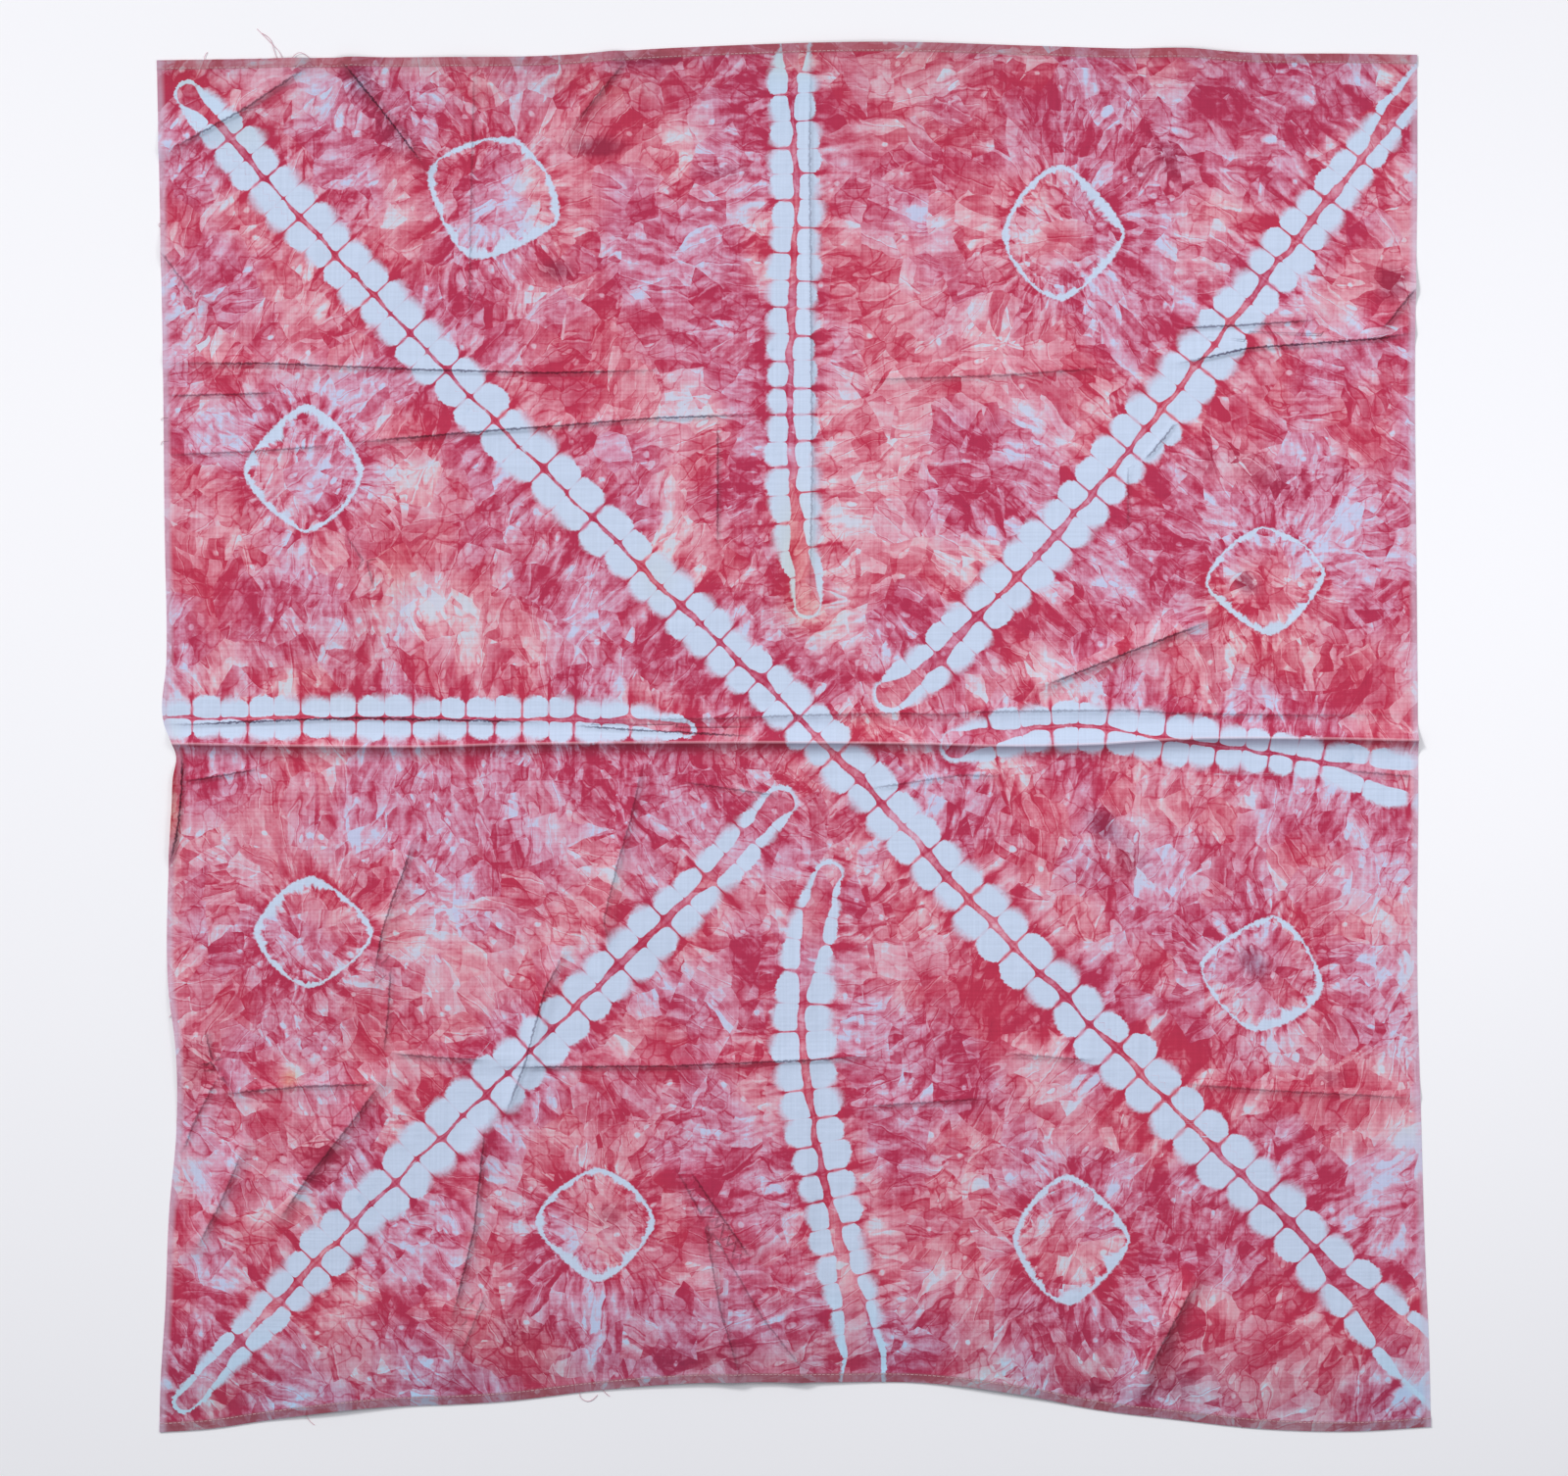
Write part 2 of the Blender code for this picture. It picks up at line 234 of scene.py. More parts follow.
# Places where the dye lies deep (above 0) or pale (below 0): X, Y, half axes in mm, turn in degrees, amount
DEEP_AND_PALE = (
    (-428, 373, 22, 20, 0, 0.30), (-271, 337, 40, 22, 20, 0.30), (-150, 301, 40, 40, 0, 0.30),
    (-400, 94, 42, 22, 0, 0.30), (-78, 483, 36, 14, 0, 0.35), (-52, 150, 16, 28, 0, 0.30), (335, 455, 50, 22, -30, 0.35),
    (114, 348, 30, 12, 0, 0.35), (307, 230, 26, 42, -30, 0.35), (271, 165, 26, 34, 0, 0.35), (180, 80, 36, 14, 0, 0.3),
    (307, 101, 20, 20, 0, 0.30), (400, 44, 26, 16, 0, 0.30), (428, 309, 18, 14, 0, 0.30), (136, -198, 40, 34, -45, 0.45),
    (128, -263, 22, 18, 0, 0.35), (278, -198, 22, 34, 40, 0.35), (-20, -390, 18, 18, 0, 0.40),
    (-78, -340, 36, 24, 0, 0.30), (-71, -448, 56, 16, 0, 0.25), (-271, -412, 36, 16, 0, 0.25),
    (-407, -491, 44, 14, 0, 0.30), (-121, -241, 36, 14, 0, 0.30), (-78, -177, 22, 34, 0, 0.30),
    (-436, -20, 28, 14, 0, 0.35), (-378, -177, 28, 12, 0, 0.25), (200, -427, 50, 16, 0, 0.25), (93, -456, 40, 14, 0, 0.2),
    (371, -327, 28, 26, 0, 0.30), (264, -412, 36, 46, 30, 0.25), (386, -284, 26, 18, 0, 0.25), (-36, 9, 30, 14, 0, 0.3),
    (343, -448, 30, 30, 0, 0.2), (78, -110, 20, 20, 0, 0.2), (125, 162, 12, 16, 0, 0.3), (214, -475, 18, 9, 0, 0.4),
    (412, -3, 42, 7, 0, 0.4), (400, -212, 22, 20, 0, 0.35), (348, 130, 12, 14, 0, 0.4), (340, 92, 26, 10, 0, 0.35),
    (-130, -345, 26, 24, 0, 0.3), (344, 115, 34, 26, 0, 0.15),
    (-350, 451, 20, 16, 0, -0.30), (-86, 430, 12, 26, 0, -0.35), (-436, 301, 20, 46, 0, -0.30),
    (-282, 187, 28, 18, 0, -0.40), (-414, 166, 22, 14, 0, -0.25), (-293, 101, 30, 22, 0, -0.35),
    (-257, 87, 28, 26, 0, -0.30), (168, 230, 28, 22, 0, -0.45), (64, 166, 34, 28, 0, -0.25), (275, 358, 18, 30, 20, -0.35),
    (407, 173, 40, 26, 0, -0.45), (236, 116, 20, 14, 0, -0.30), (50, 294, 28, 16, 0, -0.25), (136, 287, 42, 16, 0, -0.30),
    (-78, 258, 26, 34, 0, -0.25), (-307, -77, 30, 16, 0, -0.25), (-414, -77, 20, 16, 0, -0.30),
    (-250, -141, 42, 34, 0, -0.35), (-150, -70, 30, 28, 0, -0.25), (-386, -348, 30, 14, 50, -0.40),
    (-450, -327, 12, 16, 0, -0.40), (-328, -420, 22, 12, 40, -0.35), (-280, -300, 16, 14, 0, -0.30),
    (-293, -384, 28, 20, 0, -0.25), (-64, -284, 24, 20, 0, -0.25), (64, -148, 20, 22, 0, -0.30),
    (284, -92, 36, 42, 0, -0.35), (93, -256, 22, 16, 0, -0.20), (104, -330, 40, 20, 0, -0.15),
    (100, -384, 20, 16, 0, -0.30), (421, -313, 20, 22, 0, -0.35), (443, -213, 12, 44, 0, -0.40),
    (354, -234, 28, 14, 0, -0.35), (-164, 427, 26, 12, 40, -0.2), (446, -290, 10, 13, 0, -0.9),
    (430, -125, 28, 34, 0, -0.40), (428, -178, 26, 8, 0, -0.35), (448, -150, 9, 60, 0, -0.30),
    (-350, 312, 30, 12, -20, -0.35), (-121, 316, 14, 12, 0, -0.40), (-430, -459, 8, 6, 0, -0.40),
    (-218, 396, 28, 22, 30, -0.40), (-196, 368, 16, 12, 0, -0.35), (178, 381, 7, 20, -10, -0.60),
    (169, 364, 8, 9, 0, -0.45), (-356, 195, 32, 34, 0, -0.32), (322, 122, 15, 7, -20, -0.25),
    (369, 112, 7, 6, 0, -0.35), (-159, -366, 10, 9, 0, -0.45), (-200, -360, 11, 14, 0, -0.45),
    (177, -356, 13, 13, 0, -0.60), (209, -344, 9, 13, 0, -0.60), (207, -391, 8, 8, 0, -0.55),
    (233, -331, 8, 8, 0, -0.50), (247, -414, 18, 14, 0, -0.40), (452, -477, 15, 10, 0, -0.85),
    # The last entry deepens the tone across a broad strip under the top hem
    (450, 408, 6, 6, 0, -0.85), (0, 463, 500, 40, 0, 0.17),
)
# Smudges over the dye, in the same order: greyish purple first, then brownish orange
GREY_SMUDGES = (
    (-145, 430, 24, 8, 0, 0.9), (-173, 340, 14, 9, 0, 0.8), (-50, 412, 24, 8, 0, 0.6), (225, -64, 17, 11, -35, 1.0),
    (329, 113, 12, 8, -45, 1.0), (335, -164, 11, 16, 40, 1.0), (275, 420, 14, 24, 30, 0.6), (252, 412, 10, 10, 0, 0.5),
    (438, 330, 16, 18, 40, 0.8), (395, 192, 10, 8, 0, 0.4), (390, -248, 12, 8, 0, 0.6), (345, 190, 40, 20, -20, 0.45),
    (-318, 478, 18, 14, -40, 0.8), (-290, 436, 14, 30, 40, 0.5), (-108, 493, 30, 8, 0, 0.6), (250, -92, 16, 22, 30, 0.6),
    (-340, -298, 30, 22, 0, 0.35), (272, -440, 12, 34, 20, 0.5), (280, -475, 50, 14, 0, 0.5), (-436, -236, 22, 40, 0, 0.4),
    (170, -420, 60, 20, 0, 0.3), (-60, -455, 60, 18, 0, 0.4), (-200, -430, 30, 20, 0, 0.35), (-340, -330, 60, 40, 0, 0.3),
    (410, -20, 40, 10, 0, 0.4), (-135, -350, 18, 16, 0, 0.5), (214, -475, 16, 8, 0, 0.5),
    (300, 60, 30, 8, 20, 0.4), (300, 200, 30, 14, 0, 0.3), (165, -262, 60, 14, 0, 0.25),
)
BROWN_SMUDGES = (
    (-150, 478, 60, 14, 0, 0.8), (0, 492, 26, 10, 0, 0.8), (0, 128, 14, 46, 0, 0.9), (4, 92, 30, 16, 0, 0.5),
    (-300, 96, 20, 60, -20, 0.5), (-350, 60, 40, 30, 0, 0.35), (300, 100, 16, 12, 0, 0.5), (-210, 130, 60, 40, 0, 0.2),
    (-320, -190, 60, 40, 0, 0.35), (-210, -440, 40, 30, 0, 0.25), (100, 440, 60, 12, 0, 0.4), (100, 494, 50, 8, 0, 0.4),
    (-440, 480, 26, 10, 0, 0.6), (350, 60, 60, 24, 0, 0.25), (-440, 300, 14, 20, 0, 0.3), (50, 10, 16, 14, 0, 0.3),
    (-440, -480, 40, 20, 0, 0.3), (-367, -249, 6, 6, 0, 2.2), (-100, 120, 14, 20, 0, 0.4), (-400, 440, 22, 14, 0, 0.3),
    (-452, -46, 5, 38, 0, 1.8),
)


# Sharp lines where the cloth lay folded in storage, from left to right, in mm: how strong, and the line
FOLD_LINES = (
    (1.0, ((-458, 9.8), (-440, 9.8), (-401, 11.8), (-316, 14.8), (-237, 13.0), (-180, 11.5))),
    (0.9, ((-161, 9.1), (-120, 6.0), (-81, 3.9), (-30, 1.0))),
    (0.5, ((-158, 12.7), (-50, 14.3), (6, 16.6), (84, 18.0), (108, 16.9), (131, 18.9), (171, 19.6), (248, 20.2),
           (275, 17.9), (360, 16.6), (453, 16.6))),
    (0.9, ((-458, 272.9), (-376, 272.7), (-278, 268.6), (-180, 266.0), (-90, 268.0))),
    (0.7, ((-458, 249.4), (-420, 250.0), (-376, 251.5))),
    (0.6, ((-458, 206.0), (-400, 208.5), (-335, 213.0))),
    (0.9, ((-329, 214.5), (-230, 223.1), (-165, 228.0), (-100, 233.2), (-20, 236.0))),
    (0.6, ((54, 260.8), (150, 264.0), (227, 269.4))),
    (0.8, ((278, 298.6), (330, 301.0), (380, 304.4))),
    (1.0, ((278, 272.2), (333, 284.3), (380, 287.5), (424, 290.8), (453, 295.1))),
    (0.7, ((-294, -229.8), (-260, -232.5), (-225, -234.8))),
    (0.8, ((-221, -239.7), (-94, -239.0), (0, -235.0), (64, -231.9))),
    (0.5, ((156, -229.8), (218, -234.8))),
    (0.6, ((54, -268.3), (138, -262.6))),
    (0.55, ((282, -251.9), (350, -257.0), (406, -259.7), (453, -262.6))),
    (0.7, ((-416, -259.0), (-360, -254.0), (-300, -251.9))),
    (0.8, ((-445, -32.0), (-390, -22.7))),
    (0.6, ((401, -23.4), (453, -28.4))),
    (0.9, ((179, 36.6), (241, 61.6), (303, 85.1))),
)
# Sharp wrinkles that run down or slantwise, in the same way
WRINKLES = (
    (1.0, ((-329, 493.6), (-298, 455.0), (-269, 417.2))),
    (0.8, ((-355, 488.6), (-400, 458.0), (-455, 427.9))),
    (0.6, ((-460, 353.6), (-446, 335.0), (-436, 320.8))),
    (0.5, ((-327, 149.4), (-312, 127.3), (-306, 107.3))),
    (0.8, ((-278, -74.8), (-283, -93.4), (-293, -119.1), (-300, -140.5), (-306, -171.9))),
    (0.7, ((-294, -166.2), (-296, -200.5), (-299, -229.8))),
    (0.7, ((-300, -250.5), (-323, -281.2), (-355, -321.1), (-375, -351.8))),
    (0.7, ((-429, -213.3), (-424, -235.4), (-411, -253.3))),
    (0.6, ((-419, -246.2), (-435, -275.5), (-446, -302.6))),
    (0.6, ((-402, -301.1), (-416, -335.4), (-434, -370.4))),
    (0.6, ((-110, -18.4), (-119, -58.4), (-129, -93.4), (-139, -133.4), (-134, -153.4))),
    (0.7, ((-167, -155.5), (-181, -182.6), (-188, -206.2), (-196, -236.9), (-211, -276.8))),
    (0.8, ((-225, -281.2), (-233, -357.6), (-249, -423.3))),
    (0.5, ((-225, -404.7), (-243, -450.4))),
    (0.6, ((-90, -308.3), (-66, -350.4), (-54, -417.6), (-39, -466.8))),
    (0.7, ((-76, -314.0), (-30, -379.7))),
    (0.5, ((-66, -348.3), (-23, -421.1), (10, -463.3))),
    (0.6, ((-81, -32.0), (-46, -37.0), (-11, -42.0))),
    (0.5, ((54, -37.0), (121, -27.0), (154, -27.7))),
    (0.7, ((278, 229.4), (256, 202.3))),
    (0.4, ((243, 198.7), (243, 153.0))),
    (0.7, ((-56, 231.5), (-56, 138.0))),
    (1.0, ((-446, -10), (-446.4, -34), (-448, -54), (-450.5, -72), (-455, -92))),
    (0.8, ((453, 327.9), (428, 297.2))),
    (0.7, ((291, -397.6), (254, -466.8))),
    (0.6, ((-123, 492.9), (-159, 447.9))),
    (0.5, ((12, 500.0), (11, 420.0), (13, 200.0), (11, 90.0))),
    (0.4, ((-233, 495.0), (-236, 380.0), (-237, 300.0))),
)


# Machine stitches of the hems
STITCH_RADIUS = 0.3 * MM
STITCH_LENGTH = 2.2 * MM
STITCH_SPACING = 3.2 * MM

# Loose ends of yarn, in mm
YARN_RADIUS = 0.22 * MM
LOOSE_ENDS = (
    ((-372, 493, 1), (-374, 499, 2), (-380, 505, 1), (-386, 511, 0.6), (-391, 516, 0.4)),
    ((-376, 493, 1), (-379, 501, 2), (-381, 510, 1), (-388, 513, 0.5)),
    ((-366, 494, 1), (-362, 499, 1.4), (-356, 498, 0.8), (-353, 495, 0.8)),
    ((-429, 492, 1), (-430, 496, 1.2), (-427, 499, 0.5)),
    ((-458, 434, 1), (-461, 435, 1.4), (-463, 433, 1), (-461, 431, 0.6)),
    ((-458, 374, 1), (-462, 375, 1.4), (-463, 372, 0.8), (-460, 371, 0.6)),
    ((-456, 233, 1), (-459, 234, 1.2), (-461, 231, 0.6)),
    ((-456, 216, 1), (-460, 217, 1.2), (-461, 213, 0.6)),
    ((-449, -200, 1), (-453, -201, 1.2), (-455, -204, 0.6)),
    ((-355, -486, 1), (-356, -493, 1.4), (-352, -499, 0.6), (-349, -501, 0.4)),
    ((-155, -474, 1), (-157, -479, 1.2), (-152, -484, 0.6), (-146, -483, 0.4), (-143, -479, 0.4)),
    ((-140, -472, 1), (-139, -477, 1.2), (-134, -480, 0.5)),
    ((322, -494, 1), (323, -500, 1.4), (327, -503, 0.6)),
)


def smooth_through(rows, shares):
    """Values at the given shares on a smooth curve through the rows of (share, value)."""
    at = np.array([share for share, _ in rows])
    values = np.array([value for _, value in rows])
    slopes = np.gradient(values, at)
    left = np.clip(np.searchsorted(at, shares, side="right") - 1, 0, len(at) - 2)
    span = at[left + 1] - at[left]
    t = (shares - at[left]) / span
    return (
        (2 * t**3 - 3 * t**2 + 1) * values[left]
        + (t**3 - 2 * t**2 + t) * span * slopes[left]
        + (3 * t**2 - 2 * t**3) * values[left + 1]
        + (t**3 - t**2) * span * slopes[left + 1]
    )


def laid_out(across, up):
    """X and Y in mm of the cloth's point at a share of its width and a share of its length."""
    left, right = smooth_through(LEFT_SELVEDGE, up), smooth_through(RIGHT_SELVEDGE, up)
    bottom, middle, top = (smooth_through(line, across) for line in (BOTTOM_HEM, MIDDLE_LINE, TOP_HEM))
    low, high = np.clip(up / 0.5, 0, 1), np.clip(up / 0.5 - 1, 0, 1)
    return left + (right - left) * across, bottom + (middle - bottom) * low + (top - middle) * high


def along_path(x, y, path):
    """Each point's distance from a path of (x, y), its share of the way along it, and how far it lies to the lee."""
    starts, ends = np.array(path[:-1], float), np.array(path[1:], float)
    lengths = np.linalg.norm(ends - starts, axis=1)
    passed = np.concatenate(([0], np.cumsum(lengths)))
    nearest, share, lee = np.full(x.shape, np.inf), np.zeros(x.shape), np.zeros(x.shape)
    for start, end, length, before in zip(starts, ends, lengths, passed):
        way = (end - start) / length
        reached = np.clip((x - start[0]) * way[0] + (y - start[1]) * way[1], 0, length)
        dx, dy = x - start[0] - way[0] * reached, y - start[1] - way[1] * reached
        distance = np.hypot(dx, dy)
        closer = distance < nearest
        share = np.where(closer, (before + reached) / passed[-1], share)
        lee = np.where(closer, dx * LEE_WAY[0] + dy * LEE_WAY[1], lee)
        nearest = np.minimum(distance, nearest)
    return nearest, share, lee


def rounded(x):
    """A soft bump, 1 at 0 and 0 from 1 on."""
    return np.cos(np.clip(np.abs(x), 0, 1) * math.pi / 2) ** 2


def creased(x):
    """A bump with a keen crest, 1 at 0 and 0 from 1 on."""
    return (1 - np.clip(np.abs(x), 0, 1)) ** 1.7


def lift(x, y):
    """How high the cloth stands over the floor, in mm."""
    height = np.zeros(x.shape)
    for fold in STORAGE_FOLDS + CREASES:
        distance, share, lee = along_path(x, y, fold.path)
        faded = rounded(np.maximum(np.abs(share - 0.5) - 0.35, 0) / 0.15)
        reach = fold.reach * np.where(lee > 0, LEE_REACH, 1)
        height += fold.height * creased(distance / reach) * faded
    for swell in SWELLS:
        height += swell.height * rounded(np.hypot((x - swell.x) / swell.half_x, (y - swell.y) / swell.half_y))
    return height


def soft_places(x, y, places):
    """The sum of soft oval places, each given by its middle, half axes, turn and amount."""
    total = np.zeros(x.shape)
    for middle_x, middle_y, half_x, half_y, turn, amount in places:
        c, s = math.cos(math.radians(turn)), math.sin(math.radians(turn))
        dx, dy = x - middle_x, y - middle_y
        total += amount * np.exp(-(((dx * c + dy * s) / half_x) ** 2) - ((dy * c - dx * s) / half_y) ** 2)
    return total


def along_band(band, step):
    """Distances in mm every step along a band, and its X, Y, stitches, half width and core there."""
    rows = np.array(band.rows, float)
    passed = np.concatenate(([0], np.cumsum(np.hypot(*np.diff(rows[:, :2], axis=0).T))))
    ways = np.linspace(0, passed[-1], int(passed[-1] / step))
    columns = [smooth_through(list(zip(passed, rows[:, k])), ways) for k in (0, 1)]
    return ways, columns + [np.interp(ways, passed, rows[:, k]) for k in (2, 3, 4)]


def in_band(x, y, band):
    """Each point's place in a band: stitches passed, mm across, mm beyond a looped end, half width, core, gap outside."""
    ways, (line_x, line_y, stitches, half, core) = along_band(band, 3)
    way_x, way_y, rate = (np.gradient(line, ways) for line in (line_x, line_y, stitches))
    norm = np.hypot(way_x, way_y)
    way_x, way_y = way_x / norm, way_y / norm
    found = [np.empty(x.shape) for _ in range(6)]
    for first in range(0, x.size, 4000):
        part = slice(first, first + 4000)
        dx, dy = x[part, None] - line_x, y[part, None] - line_y
        near = np.argmin(dx**2 + dy**2, axis=1)
        dx, dy = x[part] - line_x[near], y[part] - line_y[near]
        on = dx * way_x[near] + dy * way_y[near]
        off = dy * way_x[near] - dx * way_y[near]
        reached = ways[near] + on
        before = np.maximum(-reached, 0) * band.loops[0]
        after = np.maximum(reached - ways[-1], 0) * band.loops[1]
        beyond = before + after
        found[0][part] = stitches[near] + on * rate[near]
        found[1][part] = off
        found[2][part] = beyond
        found[3][part] = half[near]
        found[4][part] = core[near]
        found[5][part] = np.hypot(off, beyond) - half[near]
    return found


def in_nearest_band(x, y, bands):
    """The same place in whichever band is nearest, its stagger, and how surely that one is the nearest."""
    places = [in_band(x, y, band) for band in bands]
    gaps = np.array([place[5] for place in places])
    nearest = np.argmin(gaps, axis=0)
    chosen = [np.choose(nearest, [place[k] for place in places]) for k in range(5)]
    stagger = np.choose(nearest, [band.stagger for band in bands]).astype(float)
    ordered = np.sort(gaps, axis=0)
    sure = np.clip((ordered[1] - ordered[0] - 12) / 12, 0, 1)
    return chosen, stagger, sure


def in_nearest_ring(x, y):
    """Each point's place in the nearest ring: its direction times its share of the outline's radius, and the line."""
    middles = np.array([ring.middle for ring in RINGS], float)
    nearest = np.argmin(np.hypot(x[:, None] - middles[:, 0], y[:, None] - middles[:, 1]), axis=1)
    place_x, place_y, line = (np.zeros(x.shape) for _ in range(3))
    for number, ring in enumerate(RINGS):
        mine = nearest == number
        dx, dy = x[mine] - ring.middle[0], y[mine] - ring.middle[1]
        angle = np.degrees(np.arctan2(dy, dx))
        turned = np.radians(angle - ring.turn)
        sides = (np.abs(np.cos(turned)) / ring.half_axes[0], np.abs(np.sin(turned)) / ring.half_axes[1])
        radius = (sides[0] ** RING_ROUNDNESS + sides[1] ** RING_ROUNDNESS) ** (-1 / RING_ROUNDNESS)
        radius *= 1 + RING_UNEVENNESS * np.sin(3 * turned + 2 * number)
        towards = 0.5 + 0.5 * np.cos(np.radians(angle - ring.thick_towards))
        place_x[mine], place_y[mine] = dx / radius, dy / radius
        line[mine] = (ring.line + (ring.thick_line - ring.line) * towards**3) / radius
    return place_x, place_y, line


def pleat_ways(x, y):
    """Which way the cloth was pleated: across the nearest bands and out from the nearest rings, as a doubled angle."""
    way_x, way_y = np.full(x.shape, 1e-6), np.zeros(x.shape)
    for band in (THROUGH_BAND,) + OTHER_BANDS:
        _, (line_x, line_y, *_) = along_band(band, 55)
        for at_x, at_y, way_on, way_up in zip(line_x, line_y, np.gradient(line_x), np.gradient(line_y)):
            angle = 2 * (math.atan2(way_up, way_on) + math.pi / 2)
            distance = np.hypot(x - at_x, y - at_y)
            weight = np.exp(-distance / 45)
            way_x += weight * math.cos(angle)
            way_y += weight * math.sin(angle)
    for ring in RINGS:
        dx, dy = x - ring.middle[0], y - ring.middle[1]
        distance = np.hypot(dx, dy) + 1
        weight = 1.7 * np.clip((distance - 36) / 12, 0.02, 1) * np.exp(-np.maximum(distance - 50, 0) / 22)
        way_x += weight * (dx**2 - dy**2) / distance**2
        way_y += weight * 2 * dx * dy / distance**2
    return way_x, way_y


def nearest_crease(x, y, creases):
    """Each point's distance in mm from the nearest crease, above 0 to the lee, and how strong that crease is there."""
    nearest, signed, strength = (np.full(x.shape, value) for value in (60.0, 60.0, 0.0))
    for amount, path in creases:
        distance, share, lee = along_path(x, y, path)
        closer = distance < nearest
        nearest = np.where(closer, distance, nearest)
        signed = np.where(closer, distance * np.sign(lee), signed)
        strength = np.where(closer, amount * np.clip(np.minimum(share, 1 - share) * 7, 0, 1), strength)
    return signed, strength * np.clip((7.5 - nearest) / 2.5, 0, 1)


def keep_attribute(mesh, name, *columns):
    """Keeps up to three numbers for each vertex, for the dye's pattern to read."""
    columns += (np.zeros(len(columns[0])),) * (3 - len(columns))
    attribute = mesh.attributes.new(name, "FLOAT_VECTOR", "POINT")
    attribute.data.foreach_set("vector", np.column_stack(columns).ravel())


def row_shares():
    """Shares of the length at which the sheet's rows lie: even ones, and closer ones at the hems and the middle fold."""
    length = CLOTH_LENGTH / MM
    hem, step = HEM_WIDTH / MM, HEM_STEP / MM
    special = [hem / length, (hem + step) / length, 1 - (hem + step) / length, 1 - hem / length]
    special += [0.5 + row / length for row in MIDDLE_FOLD_ROWS]
    even = [share for share in np.linspace(0, 1, ROWS + 1) if min(abs(share - s) for s in special) > 0.0016]
    return np.array(sorted(even + special))


def sheet_grid():
    """The cloth's face as one fine grid, laid out over its folds, with what the dye's pattern reads kept on it."""
    ups = row_shares()
    bpy.ops.object.select_all(action="DESELECT")
    bpy.ops.mesh.primitive_grid_add(x_subdivisions=COLUMNS, y_subdivisions=len(ups) - 1, size=1)
    cloth = bpy.context.object
    cloth.name = "cotton_sheet"
    mesh = cloth.data
    places = np.empty(len(mesh.vertices) * 3)
    mesh.vertices.foreach_get("co", places)
    places = places.reshape(-1, 3)
    across = places[:, 0] + 0.5
    up = ups[np.rint((places[:, 1] + 0.5) * (len(ups) - 1)).astype(int)]
    x, y = laid_out(across, up)
    middle = (up - 0.5) * CLOTH_LENGTH / MM
    z = lift(x, y) + MIDDLE_FOLD_HEIGHT * creased(middle / MIDDLE_FOLD_REACH)
    mesh.vertices.foreach_set("co", (np.column_stack((x, y, z)) * MM).ravel())

    uv = mesh.uv_layers[0]
    corners = np.empty(len(mesh.loops), int)
    mesh.loops.foreach_get("vertex_index", corners)
    flat = np.column_stack((across * CLOTH_WIDTH, up * CLOTH_LENGTH))
    uv.data.foreach_set("uv", flat[corners].ravel())

    place = in_band(x, y, THROUGH_BAND)
    keep_attribute(mesh, "through band", place[0], place[1], place[2])
    keep_attribute(mesh, "through band form", place[3], place[4])
    place, stagger, sure = in_nearest_band(x, y, OTHER_BANDS)
    keep_attribute(mesh, "other bands", place[0], place[1], place[2])
    keep_attribute(mesh, "other bands form", place[3], place[4], stagger)
    keep_attribute(mesh, "ring", *in_nearest_ring(x, y))
    depth = soft_places(x, y, DEEP_AND_PALE)
    keep_attribute(mesh, "washes", depth, soft_places(x, y, GREY_SMUDGES), soft_places(x, y, BROWN_SMUDGES))
    way_x, way_y = pleat_ways(x, y)
    keep_attribute(mesh, "pleats", way_x, way_y, sure)
    keep_attribute(mesh, "fold lines", *nearest_crease(x, y, FOLD_LINES))
    keep_attribute(mesh, "wrinkles", *nearest_crease(x, y, WRINKLES))

    hems = cloth.vertex_groups.new(name="hems")
    thick = np.nonzero((up < (HEM_WIDTH + 0.1 * MM) / CLOTH_LENGTH) | (up > 1 - (HEM_WIDTH + 0.1 * MM) / CLOTH_LENGTH))
    hems.add(thick[0].tolist(), 1.0, "REPLACE")
    return cloth


def headscarf_sheet():
    """The headscarf as one closed sheet, thicker along its two turned hems."""
    cloth = sheet_grid()
    solidify = cloth.modifiers.new("thickness", "SOLIDIFY")
    solidify.thickness = HEM_THICKNESS
    solidify.offset = 1
    solidify.vertex_group = "hems"
    solidify.thickness_vertex_group = CLOTH_THICKNESS / HEM_THICKNESS
    bpy.ops.object.modifier_apply(modifier=solidify.name)
    bpy.ops.object.shade_smooth_by_angle(angle=math.radians(55))
    return cloth


def surface_point(across, up):
    """The place in mm on the cloth's upper face at a share of its width and a share of its length."""
    across, up = np.atleast_1d(across), np.atleast_1d(up)
    x, y = laid_out(across, up)
    middle = (up - 0.5) * CLOTH_LENGTH / MM
    z = lift(x, y) + MIDDLE_FOLD_HEIGHT * creased(middle / MIDDLE_FOLD_REACH)
    return np.column_stack((x, y, z))


def joined(pieces, name):
    """The pieces as one object under a name of its own."""
    bpy.ops.object.select_all(action="DESELECT")
    for piece in pieces:
        piece.select_set(True)
    bpy.context.view_layer.objects.active = pieces[0]
    bpy.ops.object.join()
    piece = bpy.context.object
    piece.name = name
    bpy.ops.object.transform_apply(location=True, rotation=True, scale=True)
    return piece


